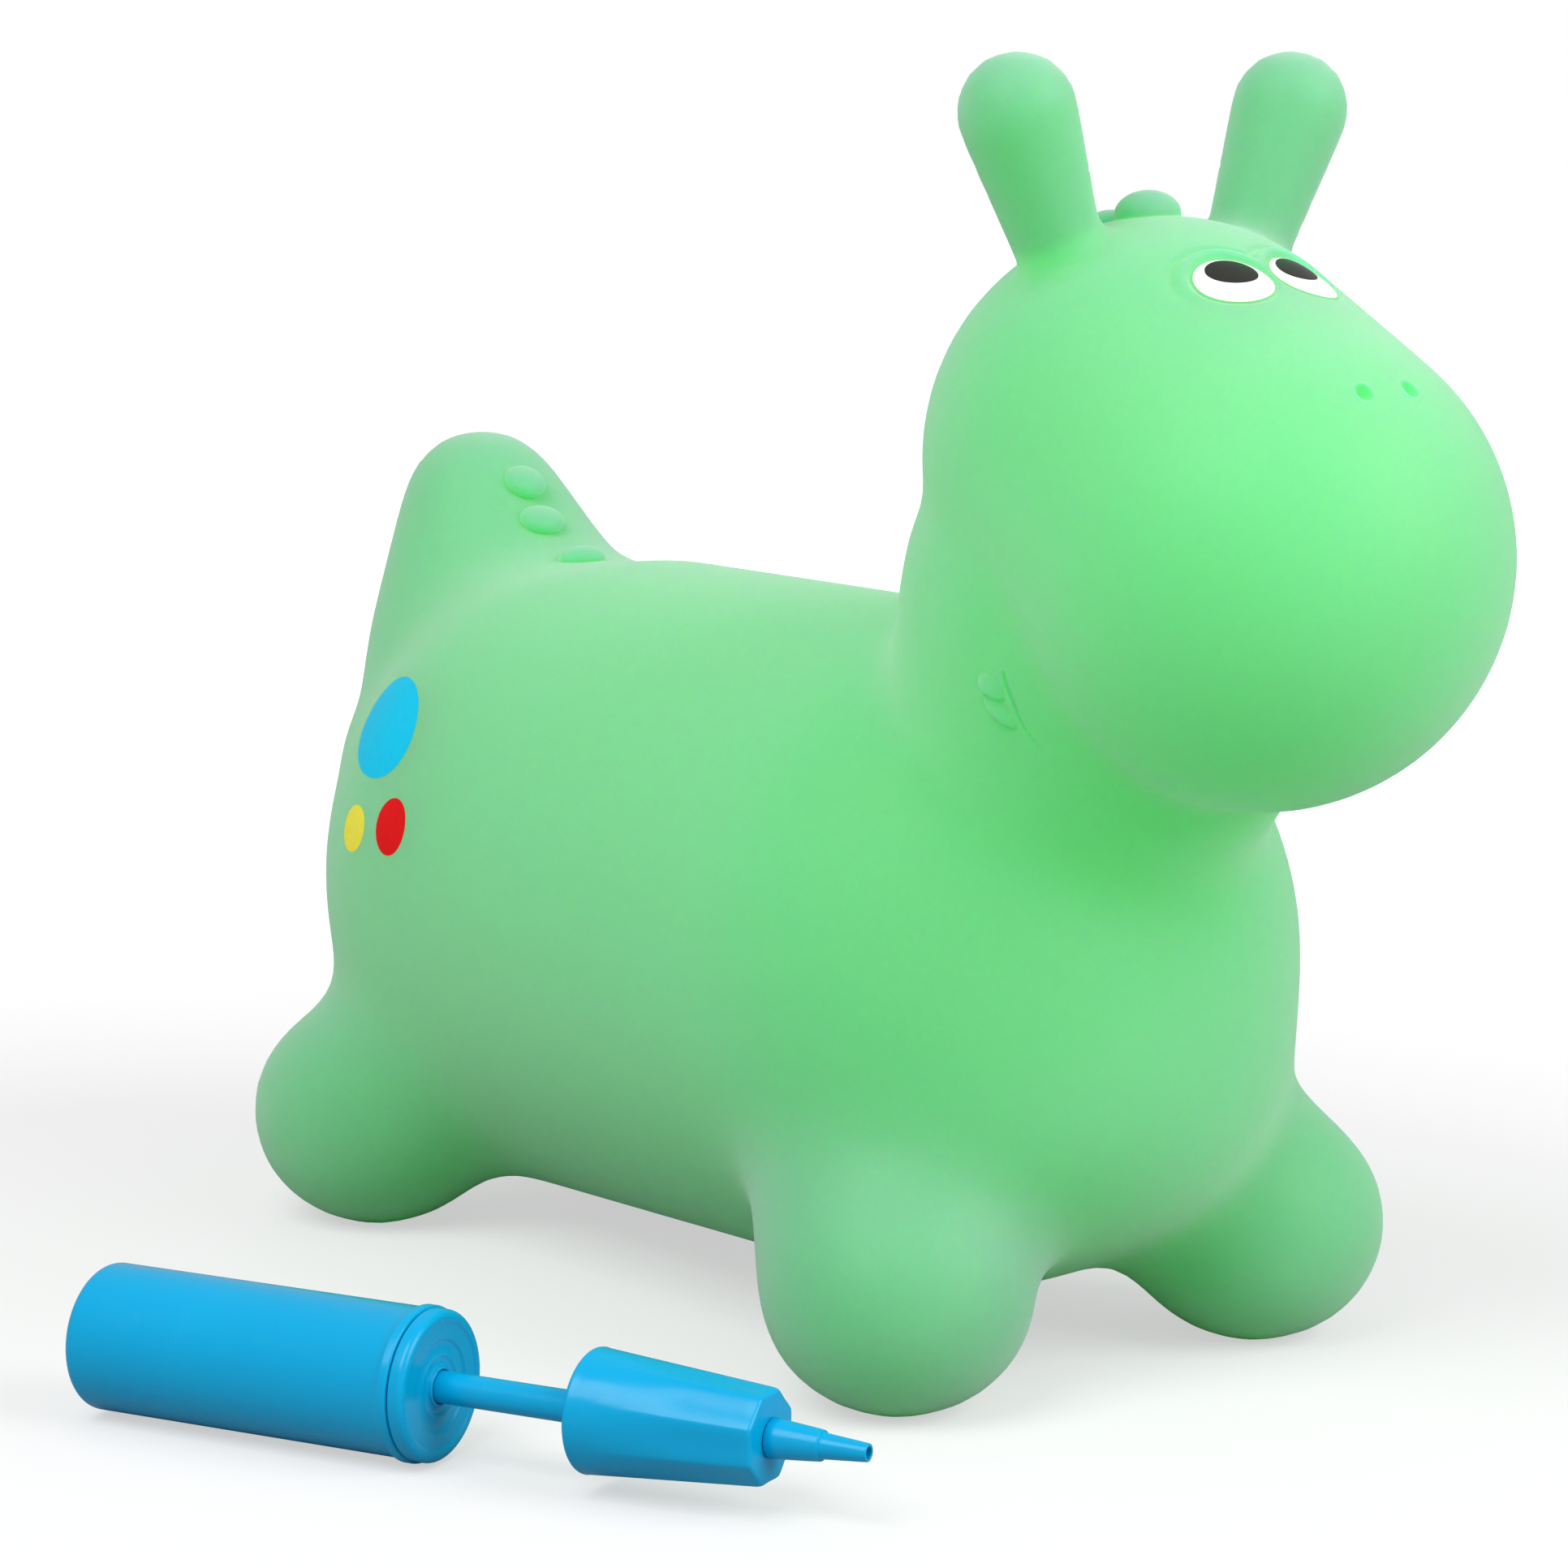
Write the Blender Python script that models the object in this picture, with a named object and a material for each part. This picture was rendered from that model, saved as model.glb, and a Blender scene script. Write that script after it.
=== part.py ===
"""Bouncy ride-on animal with its hand pump, in metres, +Z up.

The animal is one hollow vinyl skin, blown up with air, on four round feet. It faces -Y and its
left is +X. Its eyes and spots are thin films of paint, and a plug closes the air valve under its
belly. The hand pump lies on the floor on the animal's right, with its rod half drawn out.
"""
import math

import bmesh
import bpy
from mathutils import Matrix, Vector
from mathutils.bvhtree import BVHTree

# Fits
touch_gap = 0.0003          # between faces that touch on the real object
slide_gap = 0.0004          # round a piece that slides in a bore
cut_overrun = 0.004         # how far a cutter passes the face that it cuts

# The middle of the animal's four feet, seen from the middle of the whole set on the floor
animal_x = 0.09516
animal_y = 0.03943

# Body: the hull of three swells, at the rump, the chest and the brisket
seat_height = 0.2650
belly_height = 0.0090
body_half_width = 0.1190
rump_back = 0.1240
rump_half_length = 0.1180
chest_front = 0.0945
chest_half_length = 0.1260
chest_lift = 0.0080         # the chest's belly line climbs towards the forelegs
brisket_front = 0.1140
brisket_height = 0.1050
brisket_half_width = 0.1060
brisket_half_length = 0.1080
brisket_half_height = 0.0750

# Feet
front_track = 0.1630
rear_track = 0.1710
front_foot_reach = 0.1620
rear_foot_reach = 0.1720
front_foot_radius = 0.0495
rear_foot_radius = 0.0515
foot_height_share = 0.915      # of its width, squashed by the animal's weight
foot_flat = 0.0018          # how deep the floor cuts the round foot
hip_radius = 0.0415
hip_height = 0.1000

# Tail
tail_height = 0.3103
tail_tip_back = 0.2245
tail_tip_radius = 0.0340
tail_root_back = 0.1885
tail_root_height = 0.1805
tail_root_radii = (0.0720, 0.0560, 0.0540)
tail_flare_back = 0.1690
tail_flare_height = 0.1760
tail_flare_radii = (0.0940, 0.0760, 0.0640)

# Neck and head
skull_radius = 0.0810
skull_forward = 0.2000
skull_height = 0.3260
muzzle_radius = 0.0838
muzzle_reach = 0.0507
muzzle_drop = 0.0307
neck_foot_radius = 0.0660

# Ears
ear_root_radius = 0.0135
ear_tip_radius = 0.0200
ear_height = 0.4613         # of its tip over the floor, the toy's full height
ear_back = 0.0046
ear_root_angle = math.radians(32)
ear_lean = math.radians(22)

# Moulded details
brow_ring_radius = 0.0168
brow_ring_thickness = 0.0070
brow_ring_tip = math.radians(9)
eye_bulge_height = 0.0012
nostril_radius = 0.0027
nostril_sink = 0.0008
nostril_yaw = 5.3           # yaws and pitches are degrees, from the skull's or the rump's middle
nostril_pitch = 14.5
crest_bump_half_width = 0.0125
crest_bump_height = 0.0085
crest_bump_pitches = (84, 69)
crest_bump_shares = (1.0, 0.75)
tail_bump_half_width = 0.0074
tail_bump_height = 0.0058
tail_bump_pitches = (67, 39, 17)
tail_bump_width_shares = (1.0, 1.1, 1.3)
tail_bump_height_shares = (1.0, 0.9, 0.7)
cheek_leaf_half_length = 0.0055
cheek_leaf_height = 0.0016
cheek_leaf_yaws = (88.5, 87.0)
cheek_leaf_pitches = (-43.5, -48.0)
cheek_leaf_shares = (1.0, 1.25)

# Skin
skin_wall = 0.0024
coarse_voxel = 0.0060
fine_voxel = 0.0028
body_blend = 0.0105
neck_blend = 0.0090
jaw_blend = 0.0035
ear_blend = 0.0030
detail_blend = 0.0012

# Paint
paint_thickness = 0.0006
eye_half_width = 0.0134
eye_half_height = 0.0117
eye_yaw = 16.0
eye_pitch = 47.1
pupil_half_width = 0.0088
pupil_half_height = 0.0066
pupil_rise = 0.0038
blue_spot_half_length = 0.0198
blue_spot_half_width = 0.0265
blue_spot_yaw = 99.8
blue_spot_pitch = 33.3
blue_spot_tilt = math.radians(27)
yellow_spot_half_length = 0.0092
yellow_spot_half_width = 0.0095
yellow_spot_yaw = 98.6
yellow_spot_pitch = 13.2
red_spot_half_length = 0.0111
red_spot_half_width = 0.0103
red_spot_yaw = 84.2
red_spot_pitch = 15.3

# Air valve and its plug
valve_bore = 0.0080
valve_boss_diameter = 0.0170
valve_boss_length = 0.0090
plug_flange_diameter = 0.0140
plug_flange_thickness = 0.0012
plug_rib_height = 0.0002
plug_tip_round = 0.0010

# Pump: where it lies from the middle of the feet, and its barrel
pump_end_x = -0.3026
pump_end_y = -0.0039
pump_heading = math.radians(-64.0)
barrel_diameter = 0.0504
barrel_length = 0.1300
barrel_wall = 0.0022
barrel_end_wall = 0.0030
barrel_end_round = 0.0040
barrel_flange_height = 0.0011
barrel_flange_width = 0.0045

# Pump collar: the cap on the barrel's mouth
collar_length = 0.0055
collar_edge_round = 0.0025
collar_spigot_length = 0.0070
collar_spigot_wall = 0.0020
collar_web = 0.0030
collar_rim_width = 0.0045
collar_step_depth = 0.0007
collar_ring_diameter = 0.0310
collar_boss_diameter = 0.0136
collar_boss_height = 0.0014

# Pump rod and piston
rod_diameter = 0.0108
rod_bore = 0.0056
rod_drawn_out = 0.0570      # between the collar and the grip, as photographed
piston_length = 0.0090
piston_hub_length = 0.0060
piston_hub_diameter = 0.0180
piston_ring_thickness = 0.0030
check_flap_diameter = 0.0120
check_flap_thickness = 0.0010

# Pump grip
grip_wide_diameter = 0.0416
grip_narrow_diameter = 0.0316
grip_length = 0.0656
grip_edge_round = 0.0015
grip_recess = 0.0050
grip_recess_wall = 0.0030
flute_depth = 0.0011
flute_count = 8

# Pump nozzle
nozzle_base_diameter = 0.0133
nozzle_base_top_diameter = 0.0102
nozzle_base_length = 0.0183
nozzle_tip_diameter = 0.0085
nozzle_tip_top_diameter = 0.0060
nozzle_tip_length = 0.0161
nozzle_bore = 0.0040
nozzle_spigot_length = 0.0080
nozzle_edge_round = 0.0006

# Counts
ball_segments = 32
ball_rings = 18
skin_triangles = 5200
cavity_triangles = 1200
turned_segments = 32
film_segments = 20


# Materials

def material(name, colour, roughness):
    mat = bpy.data.materials.new(name)
    mat.use_nodes = True
    shader = mat.node_tree.nodes['Principled BSDF']
    shader.inputs['Base Color'].default_value = (*colour, 1)
    shader.inputs['Roughness'].default_value = roughness
    shader.inputs['Metallic'].default_value = 0
    mat.diffuse_color = (*colour, 1)
    return mat


# Objects

def add(name, bm, mat, parent=None, place=None):
    """Make a bmesh an object under a parent, with its faces shaded smooth up to 35 degrees."""
    bmesh.ops.recalc_face_normals(bm, faces=bm.faces)
    mesh = bpy.data.meshes.new(name)
    bm.to_mesh(mesh)
    bm.free()
    mesh.shade_smooth()
    mesh.set_sharp_from_angle(angle=math.radians(35))
    obj = bpy.data.objects.new(name, mesh)
    bpy.context.collection.objects.link(obj)
    if mat:
        mesh.materials.append(mat)
    obj.parent = parent
    if place:
        obj.matrix_local = place
    return obj


def add_cutter(name, bm, parent):
    obj = add(name, bm, None, parent)
    obj.hide_render = True
    obj.display_type = 'WIRE'
    return obj


def add_empty(name, place, parent=None):
    empty = bpy.data.objects.new(name, None)
    bpy.context.collection.objects.link(empty)
    empty.parent = parent
    empty.matrix_local = place
    return empty


def boolean(obj, cutter, operation='DIFFERENCE'):
    modifier = obj.modifiers.new(cutter.name, 'BOOLEAN')
    modifier.operation = operation
    modifier.object = cutter


def evaluated(obj):
    """The object's mesh as its modifiers leave it, in a new bmesh. The object is removed."""
    bm = bmesh.new()
    bm.from_object(obj, bpy.context.evaluated_depsgraph_get())
    bpy.data.objects.remove(obj)
    return bm


# Soft shapes

def ball(bm, centre, radii, turn=None):
    """Add an ellipsoid, and give its vertices."""
    if isinstance(radii, float):
        radii = (radii, radii, radii)
    place = Matrix.Translation(centre) @ (turn or Matrix.Identity(4)) @ Matrix.Diagonal((*radii, 1))
    made = bmesh.ops.create_uvsphere(
        bm, u_segments=ball_segments, v_segments=ball_rings, radius=1, matrix=place)
    return made['verts']


def swell(*balls):
    """The skin stretched over one or more balls."""
    bm = bmesh.new()
    for centre, radii in balls:
        ball(bm, centre, radii)
    if len(balls) > 1:
        hull = bmesh.ops.convex_hull(bm, input=bm.verts)
        inside = set(hull['geom_interior'] + hull['geom_unused'])
        bmesh.ops.delete(bm, geom=list(inside), context='VERTS')
    return bm


def joined(shapes):
    bm = bmesh.new()
    for shape in shapes:
        mesh = bpy.data.meshes.new('joined')
        shape.to_mesh(mesh)
        shape.free()
        bm.from_mesh(mesh)
        bpy.data.meshes.remove(mesh)
    return bm


def blend(shapes, voxel, spread):
    """Fuse shapes into one skin, with the hollows between them rounded over the spread."""
    obj = add('blend', joined(shapes), None)
    remesh = obj.modifiers.new('fuse', 'REMESH')
    remesh.mode = 'VOXEL'
    remesh.voxel_size = voxel
    smooth = obj.modifiers.new('round', 'SMOOTH')
    smooth.factor = 0.5
    smooth.iterations = max(1, round((2 * spread / voxel) ** 2))
    return evaluated(obj)


def simplified(bm, triangles, name='simplified'):
    """The same form in fewer triangles."""
    bmesh.ops.triangulate(bm, faces=bm.faces)
    count = len(bm.faces)
    obj = add(name, bm, None)
    decimate = obj.modifiers.new('fewer faces', 'DECIMATE')
    decimate.ratio = min(1, triangles / count)
    return evaluated(obj)


def aim(yaw, pitch):
    """A direction: yaw from the animal's front (-Y) towards its left (+X), pitch from the floor."""
    return Vector((math.sin(yaw) * math.cos(pitch), -math.cos(yaw) * math.cos(pitch), math.sin(pitch)))


def seat(tree, centre, yaw, pitch, up=Vector((0, 0, 1))):
    """A frame where a line from the centre leaves the skin: Z outwards, Y towards up."""
    hit, normal, _, _ = tree.ray_cast(centre, aim(math.radians(yaw), math.radians(pitch)))
    across = up.cross(normal).normalized()
    along = normal.cross(across)
    turn = Matrix((across, along, normal)).transposed().to_4x4()
    return Matrix.Translation(hit) @ turn


# The skin's main forms, in the order in which they are blended

def body_height_middle():
    return (seat_height + belly_height) / 2


def rump_centre():
    return Vector((0, rump_back, body_height_middle()))


def chest_centre():
    return Vector((0, -chest_front, body_height_middle() + chest_lift / 2))


def skull_centre():
    return Vector((0, -skull_forward, skull_height))


def tail_centre():
    """A point inside the tail, from which its bumps are aimed."""
    forward_share = 0.42         # of the tip's radius
    depth_share = 1.94
    return Vector((0, tail_tip_back - forward_share * tail_tip_radius, tail_height - depth_share * tail_tip_radius))


def body_shapes():
    body_half_height = (seat_height - belly_height) / 2
    shapes = [swell(
        (rump_centre(), (body_half_width, rump_half_length, body_half_height)),
        (chest_centre(), (body_half_width, chest_half_length, body_half_height - chest_lift / 2)),
        (Vector((0, -brisket_front, brisket_height)), (brisket_half_width, brisket_half_length, brisket_half_height)))]
    hip_across_share = 0.44      # of the body's half width
    hip_along_share = 0.62       # of the foot's reach
    for side in (-1, 1):
        for end, track, reach, radius in (
                (-1, front_track, front_foot_reach, front_foot_radius),
                (1, rear_track, rear_foot_reach, rear_foot_radius)):
            hip = Vector((side * hip_across_share * body_half_width, end * hip_along_share * reach, hip_height))
            half_height = foot_height_share * radius
            rounding_loss = body_blend ** 2 * half_height / radius ** 2
            foot = Vector((side * track / 2, end * reach, half_height - rounding_loss - foot_flat))
            shapes.append(swell((hip, hip_radius), (foot, (radius, radius, half_height))))
    tip = Vector((0, tail_tip_back, tail_height - tail_tip_radius))
    root = Vector((0, tail_root_back, tail_root_height))
    shapes.append(swell((root, tail_root_radii), (tip, tail_tip_radius)))
    shapes.append(swell((root, tail_root_radii), (Vector((0, tail_flare_back, tail_flare_height)), tail_flare_radii)))
    return shapes


def neck_shape():
    forward_share = 0.44         # of the chest's half length
    rise_share = 0.24            # of the body's height
    foot = chest_centre() + Vector((0, -forward_share * chest_half_length, rise_share * (seat_height - belly_height)))
    back_share = 0.15            # of the skull's radius
    drop_share = 0.62
    top = skull_centre() + skull_radius * Vector((0, back_share, -drop_share))
    return swell((foot, neck_foot_radius), (top, skull_radius))


def head_shape():
    muzzle = skull_centre() + Vector((0, -muzzle_reach, -muzzle_drop))
    return swell((skull_centre(), skull_radius), (muzzle, muzzle_radius))


def ear_shape(side):
    root_depth_share = 0.88      # of the skull's radius
    root = skull_centre() + Vector((0, ear_back, 0)) + root_depth_share * skull_radius * Vector(
        (side * math.sin(ear_root_angle), 0, math.cos(ear_root_angle)))
    rise = ear_height - ear_tip_radius - root.z
    tip = root + rise * Vector((side * math.tan(ear_lean), 0, 1))
    return swell((root, ear_root_radius), (tip, ear_tip_radius))


# Moulded details, seated on the blended skin

def detail_shapes(tree):
    bulge_depth_share = 2.5      # of the bulge's height
    leaf_width_share = 0.5       # of its length
    leaf_turn = math.radians(40)
    crest_length_share = 0.8     # of its width
    tail_bump_length_share = 0.95
    shapes = []
    for side in (-1, 1):
        eye = seat(tree, skull_centre(), side * eye_yaw, eye_pitch)
        shapes.append(brow_ring(eye))
        bulge = bmesh.new()
        bulge_depth = bulge_depth_share * eye_bulge_height
        ball(bulge, eye @ Vector((0, 0, eye_bulge_height - bulge_depth)),
             (eye_half_width, eye_half_width, bulge_depth), turn_of(eye))
        shapes.append(bulge)
        for yaw, pitch, size in zip(cheek_leaf_yaws, cheek_leaf_pitches, cheek_leaf_shares):
            leaf = seat(tree, skull_centre(), side * yaw, pitch) @ Matrix.Rotation(
                -side * leaf_turn, 4, 'Z')
            shapes.append(bump(leaf, size * cheek_leaf_half_length, leaf_width_share * size * cheek_leaf_half_length,
                               cheek_leaf_height))
    back = Vector((0, 1, 0))
    for pitch, size in zip(crest_bump_pitches, crest_bump_shares):
        crest = seat(tree, skull_centre(), 180, pitch, back)
        shapes.append(bump(crest, size * crest_bump_half_width, crest_length_share * size * crest_bump_half_width,
                           size * crest_bump_height))
    for pitch, size, flat in zip(tail_bump_pitches, tail_bump_width_shares, tail_bump_height_shares):
        knob = seat(tree, tail_centre(), 0, pitch, back)
        shapes.append(bump(knob, size * tail_bump_half_width, tail_bump_length_share * tail_bump_half_width,
                           flat * tail_bump_height))
    return shapes


def turn_of(frame):
    return frame.to_3x3().to_4x4()


def bump(frame, half_width, half_length, height):
    """A round knob that stands out of the skin by its height, half sunk."""
    bm = bmesh.new()
    ball(bm, frame.translation, (half_width, half_length, height), turn_of(frame))
    return bm


def brow_ring(eye):
    """A soft ridge round the back of the eye. It is tipped, so that its front sinks into the skin."""
    bm = bmesh.new()
    thickness = brow_ring_thickness / 2
    sink_share = 0.45            # of the ridge's half thickness
    bmesh.ops.create_circle(bm, cap_ends=False, radius=thickness, segments=12, matrix=Matrix.Translation(
        (brow_ring_radius, 0, 0)) @ Matrix.Rotation(math.pi / 2, 4, 'X'))
    bmesh.ops.spin(bm, geom=bm.edges[:], cent=(0, 0, 0), axis=(0, 0, 1), angle=2 * math.pi,
                   steps=ball_segments, use_merge=True)
    bmesh.ops.remove_doubles(bm, verts=bm.verts, dist=thickness / 100)
    tip = Matrix.Rotation(brow_ring_tip, 4, 'X')
    sink = Matrix.Translation((0, 0, -sink_share * thickness))
    bmesh.ops.transform(bm, matrix=eye @ sink @ tip, verts=bm.verts)
    return bm


def flat_feet(bm):
    """Cut the skin off at the floor and close each foot with one flat face."""
    bmesh.ops.bisect_plane(bm, geom=bm.verts[:] + bm.edges[:] + bm.faces[:], dist=touch_gap / 1000,
                           plane_co=(0, 0, 0), plane_no=(0, 0, -1), clear_outer=True)
    rims = [edge for edge in bm.edges if edge.is_boundary]
    bmesh.ops.edgenet_fill(bm, edges=rims)


def build_skin(animal, vinyl):
    """The hollow skin, with the valve's boss inside it. Gives its outer surface, a tree of that surface
    without the moulded details, and where its valve is."""
    coarse = blend(body_shapes(), coarse_voxel, body_blend)
    coarse = blend([coarse, neck_shape()], coarse_voxel, neck_blend)
    coarse = blend([coarse, head_shape()], coarse_voxel, jaw_blend)
    plain = blend([coarse, ear_shape(-1), ear_shape(1)], fine_voxel, ear_blend)
    cavity = plain.copy()
    tree = BVHTree.FromBMesh(plain)
    outer = blend([plain] + detail_shapes(tree), fine_voxel, detail_blend)
    outer = simplified(outer, skin_triangles)
    flat_feet(outer)
    surface = outer.copy()
    skin = add('vinyl_skin', outer, vinyl, animal)

    for vertex in cavity.verts:
        vertex.co -= vertex.normal * skin_wall
    cavity = add_cutter('air_space', simplified(cavity, cavity_triangles), animal)
    belly = BVHTree.FromBMesh(surface).ray_cast(Vector((0, 0, body_height_middle())), Vector((0, 0, -1)))[0]
    boss = turned_mesh([(0, -cut_overrun), (valve_boss_diameter / 2, -cut_overrun),
                        (valve_boss_diameter / 2, valve_boss_length), (0, valve_boss_length)])
    boss = add_cutter('valve_boss', boss, animal)
    boss.location = belly
    boolean(cavity, boss)
    bore = turned_mesh([(0, -cut_overrun), (valve_bore / 2, -cut_overrun),
                        (valve_bore / 2, valve_boss_length + cut_overrun), (0, valve_boss_length + cut_overrun)])
    bore = add_cutter('valve_bore', bore, animal)
    bore.location = belly
    boolean(skin, cavity)
    boolean(skin, bore)
    for side, label in ((-1, 'right'), (1, 'left')):
        frame = seat(tree, skull_centre(), side * nostril_yaw, nostril_pitch) @ Matrix.Translation(
            (0, 0, -nostril_sink))
        dimple = bmesh.new()
        bmesh.ops.create_uvsphere(dimple, u_segments=12, v_segments=8, radius=nostril_radius, matrix=frame)
        boolean(skin, add_cutter('nostril_' + label, dimple, animal))
    return surface, tree, belly


# Paint

def film(name, skin, frame, half_width, half_height, lift, mat, parent):
    """A thin oval film: the skin's own faces within the oval, lifted off it."""
    bm = skin.copy()
    turn = frame.to_3x3()
    normal = turn.col[2]
    edge = touch_gap / 1000
    bmesh.ops.bisect_plane(bm, geom=bm.verts[:] + bm.edges[:] + bm.faces[:], dist=edge, clear_outer=True,
                           plane_co=frame @ Vector((0, 0, -2 * half_height)), plane_no=-normal)
    for step in range(film_segments):
        angle = 2 * math.pi * step / film_segments
        rim = Vector((half_width * math.cos(angle), half_height * math.sin(angle), 0))
        out = Vector((half_height * math.cos(angle), half_width * math.sin(angle), 0))
        bmesh.ops.bisect_plane(bm, geom=bm.verts[:] + bm.edges[:] + bm.faces[:], dist=edge, clear_outer=True,
                               plane_co=frame @ rim, plane_no=(turn @ out).normalized())
    bmesh.ops.translate(bm, verts=bm.verts, vec=normal * lift)
    raised = bmesh.ops.extrude_face_region(bm, geom=bm.faces[:])
    top = [item for item in raised['geom'] if isinstance(item, bmesh.types.BMVert)]
    bmesh.ops.translate(bm, verts=top, vec=normal * paint_thickness)
    return add(name, bm, mat, parent)


def build_paint(surface, tree, animal, mats):
    for side, label in ((-1, 'right'), (1, 'left')):
        eye = seat(tree, skull_centre(), side * eye_yaw, eye_pitch)
        film('eye_white_' + label, surface, eye, eye_half_width, eye_half_height, touch_gap, mats['white'], animal)
        pupil = eye @ Matrix.Translation((0, pupil_rise, 0))
        film('pupil_' + label, surface, pupil, pupil_half_width, pupil_half_height,
             2 * touch_gap + paint_thickness, mats['black'], animal)
        for colour, yaw, pitch, half_width, half_length, tilt in (
                ('blue', blue_spot_yaw, blue_spot_pitch, blue_spot_half_width, blue_spot_half_length, blue_spot_tilt),
                ('yellow', yellow_spot_yaw, yellow_spot_pitch, yellow_spot_half_width, yellow_spot_half_length, 0),
                ('red', red_spot_yaw, red_spot_pitch, red_spot_half_width, red_spot_half_length, 0)):
            spot = seat(tree, rump_centre(), side * yaw, pitch) @ Matrix.Rotation(side * tilt, 4, 'Z')
            film('spot_{}_{}'.format(colour, label), surface, spot, half_width, half_length, touch_gap,
                 mats[colour], animal)
    surface.free()


# Turned pieces: profiles are (radius, height) points, spun round Z

def turned_mesh(profile, segments=turned_segments):
    """Spin a profile round Z. One that doesn't touch the axis is a closed loop, round a bore."""
    bm = bmesh.new()
    verts = [bm.verts.new((radius, 0, height)) for radius, height in profile]
    for start, end in zip(verts, verts[1:]):
        bm.edges.new((start, end))
    if profile[0][0] > 0:
        bm.edges.new((verts[-1], verts[0]))
    bmesh.ops.spin(bm, geom=bm.verts[:] + bm.edges[:], cent=(0, 0, 0), axis=(0, 0, 1),
                   angle=2 * math.pi, steps=segments, use_merge=True)
    bmesh.ops.remove_doubles(bm, verts=bm.verts, dist=touch_gap / 100)
    bmesh.ops.recalc_face_normals(bm, faces=bm.faces)
    return bm


def round_corner(radius, height, bend, start, steps=4):
    """Points of a quarter circle of radius bend round a centre, from the angle start, in degrees."""
    return [(radius + bend * math.cos(math.radians(start + 90 * step / steps)),
             height + bend * math.sin(math.radians(start + 90 * step / steps)))
            for step in range(steps + 1)]


def build_plug(belly, animal, mat):
    """The valve's plug: a thin flange under the belly and a ribbed stem up the bore."""
    stem = valve_bore / 2 - touch_gap
    length = valve_boss_length
    flange = plug_flange_diameter / 2
    under = -touch_gap
    profile = [(0, under - plug_flange_thickness),
               (flange - plug_flange_thickness / 2, under - plug_flange_thickness),
               (flange, under - plug_flange_thickness / 2), (flange, under), (stem - plug_rib_height, under)]
    ribs = 3
    for rib in range(1, ribs + 1):
        middle = under + length * rib / (ribs + 1)
        half = length / 20
        profile += [(stem - plug_rib_height, middle - half), (stem, middle), (stem - plug_rib_height, middle + half)]
    profile += [(stem - plug_rib_height, length - plug_tip_round),
                (stem - plug_rib_height - plug_tip_round, length), (0, length)]
    plug = add('valve_plug', turned_mesh(profile, 20), mat, animal)
    plug.location = belly
    return plug


# Pump, along +Z of its own frame from the barrel's closed end

def barrel_bore_radius():
    return barrel_diameter / 2 - barrel_wall


def collar_face():
    return barrel_length + touch_gap + collar_length


def rod_end_in_grip():
    return grip_start() + grip_length / 2


def grip_start():
    return collar_face() + rod_drawn_out


def piston_start():
    """The piston's free face. The piston reaches the barrel's end as the grip reaches the collar."""
    return barrel_end_wall + rod_drawn_out


def build_barrel(pump, mat):
    """A tube with a closed, rounded end and a round-edged flange at its mouth."""
    outer = barrel_diameter / 2
    inner = barrel_bore_radius()
    flange = outer + barrel_flange_height
    flange_start = barrel_length - barrel_flange_width
    profile = [(0, 0)]
    profile += round_corner(outer - barrel_end_round, barrel_end_round, barrel_end_round, -90)
    profile += [(outer, flange_start), (flange, flange_start + barrel_flange_height),
                (flange, barrel_length - barrel_flange_height), (outer, barrel_length),
                (inner, barrel_length), (inner, barrel_end_wall), (0, barrel_end_wall)]
    return add('pump_barrel', turned_mesh(profile), mat, pump)


def build_collar(pump, mat):
    """The cap: a spigot inside the barrel, a rounded rim, and a face stepped in rings."""
    start = barrel_length + touch_gap
    face = collar_face()
    outer = barrel_diameter / 2 + touch_gap
    spigot = barrel_bore_radius() - touch_gap
    bore = rod_diameter / 2 + slide_gap
    rim = outer - collar_rim_width
    ring = collar_ring_diameter / 2
    boss = collar_boss_diameter / 2
    web = face - 2 * collar_step_depth - collar_web
    tread = collar_step_depth
    profile = [(bore, web), (spigot - collar_spigot_wall, web),
               (spigot - collar_spigot_wall, start - collar_spigot_length), (spigot, start - collar_spigot_length),
               (spigot, start), (outer, start)]
    profile += round_corner(outer - collar_edge_round, face - collar_edge_round, collar_edge_round, 0)
    profile += [(rim + tread, face), (rim, face - tread), (ring, face - tread), (ring - tread, face - 2 * tread),
                (boss + tread, face - 2 * tread), (boss, face - tread), (boss, face - 2 * tread + collar_boss_height),
                (bore, face - 2 * tread + collar_boss_height)]
    return add('pump_collar', turned_mesh(profile), mat, pump)


def build_rod(slide, mat):
    outer = rod_diameter / 2
    bore = rod_bore / 2
    start = piston_start() + piston_length / 2
    end = rod_end_in_grip()
    return add('pump_rod', turned_mesh([(bore, start), (outer, start), (outer, end), (bore, end)], 28), mat, slide)


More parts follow.
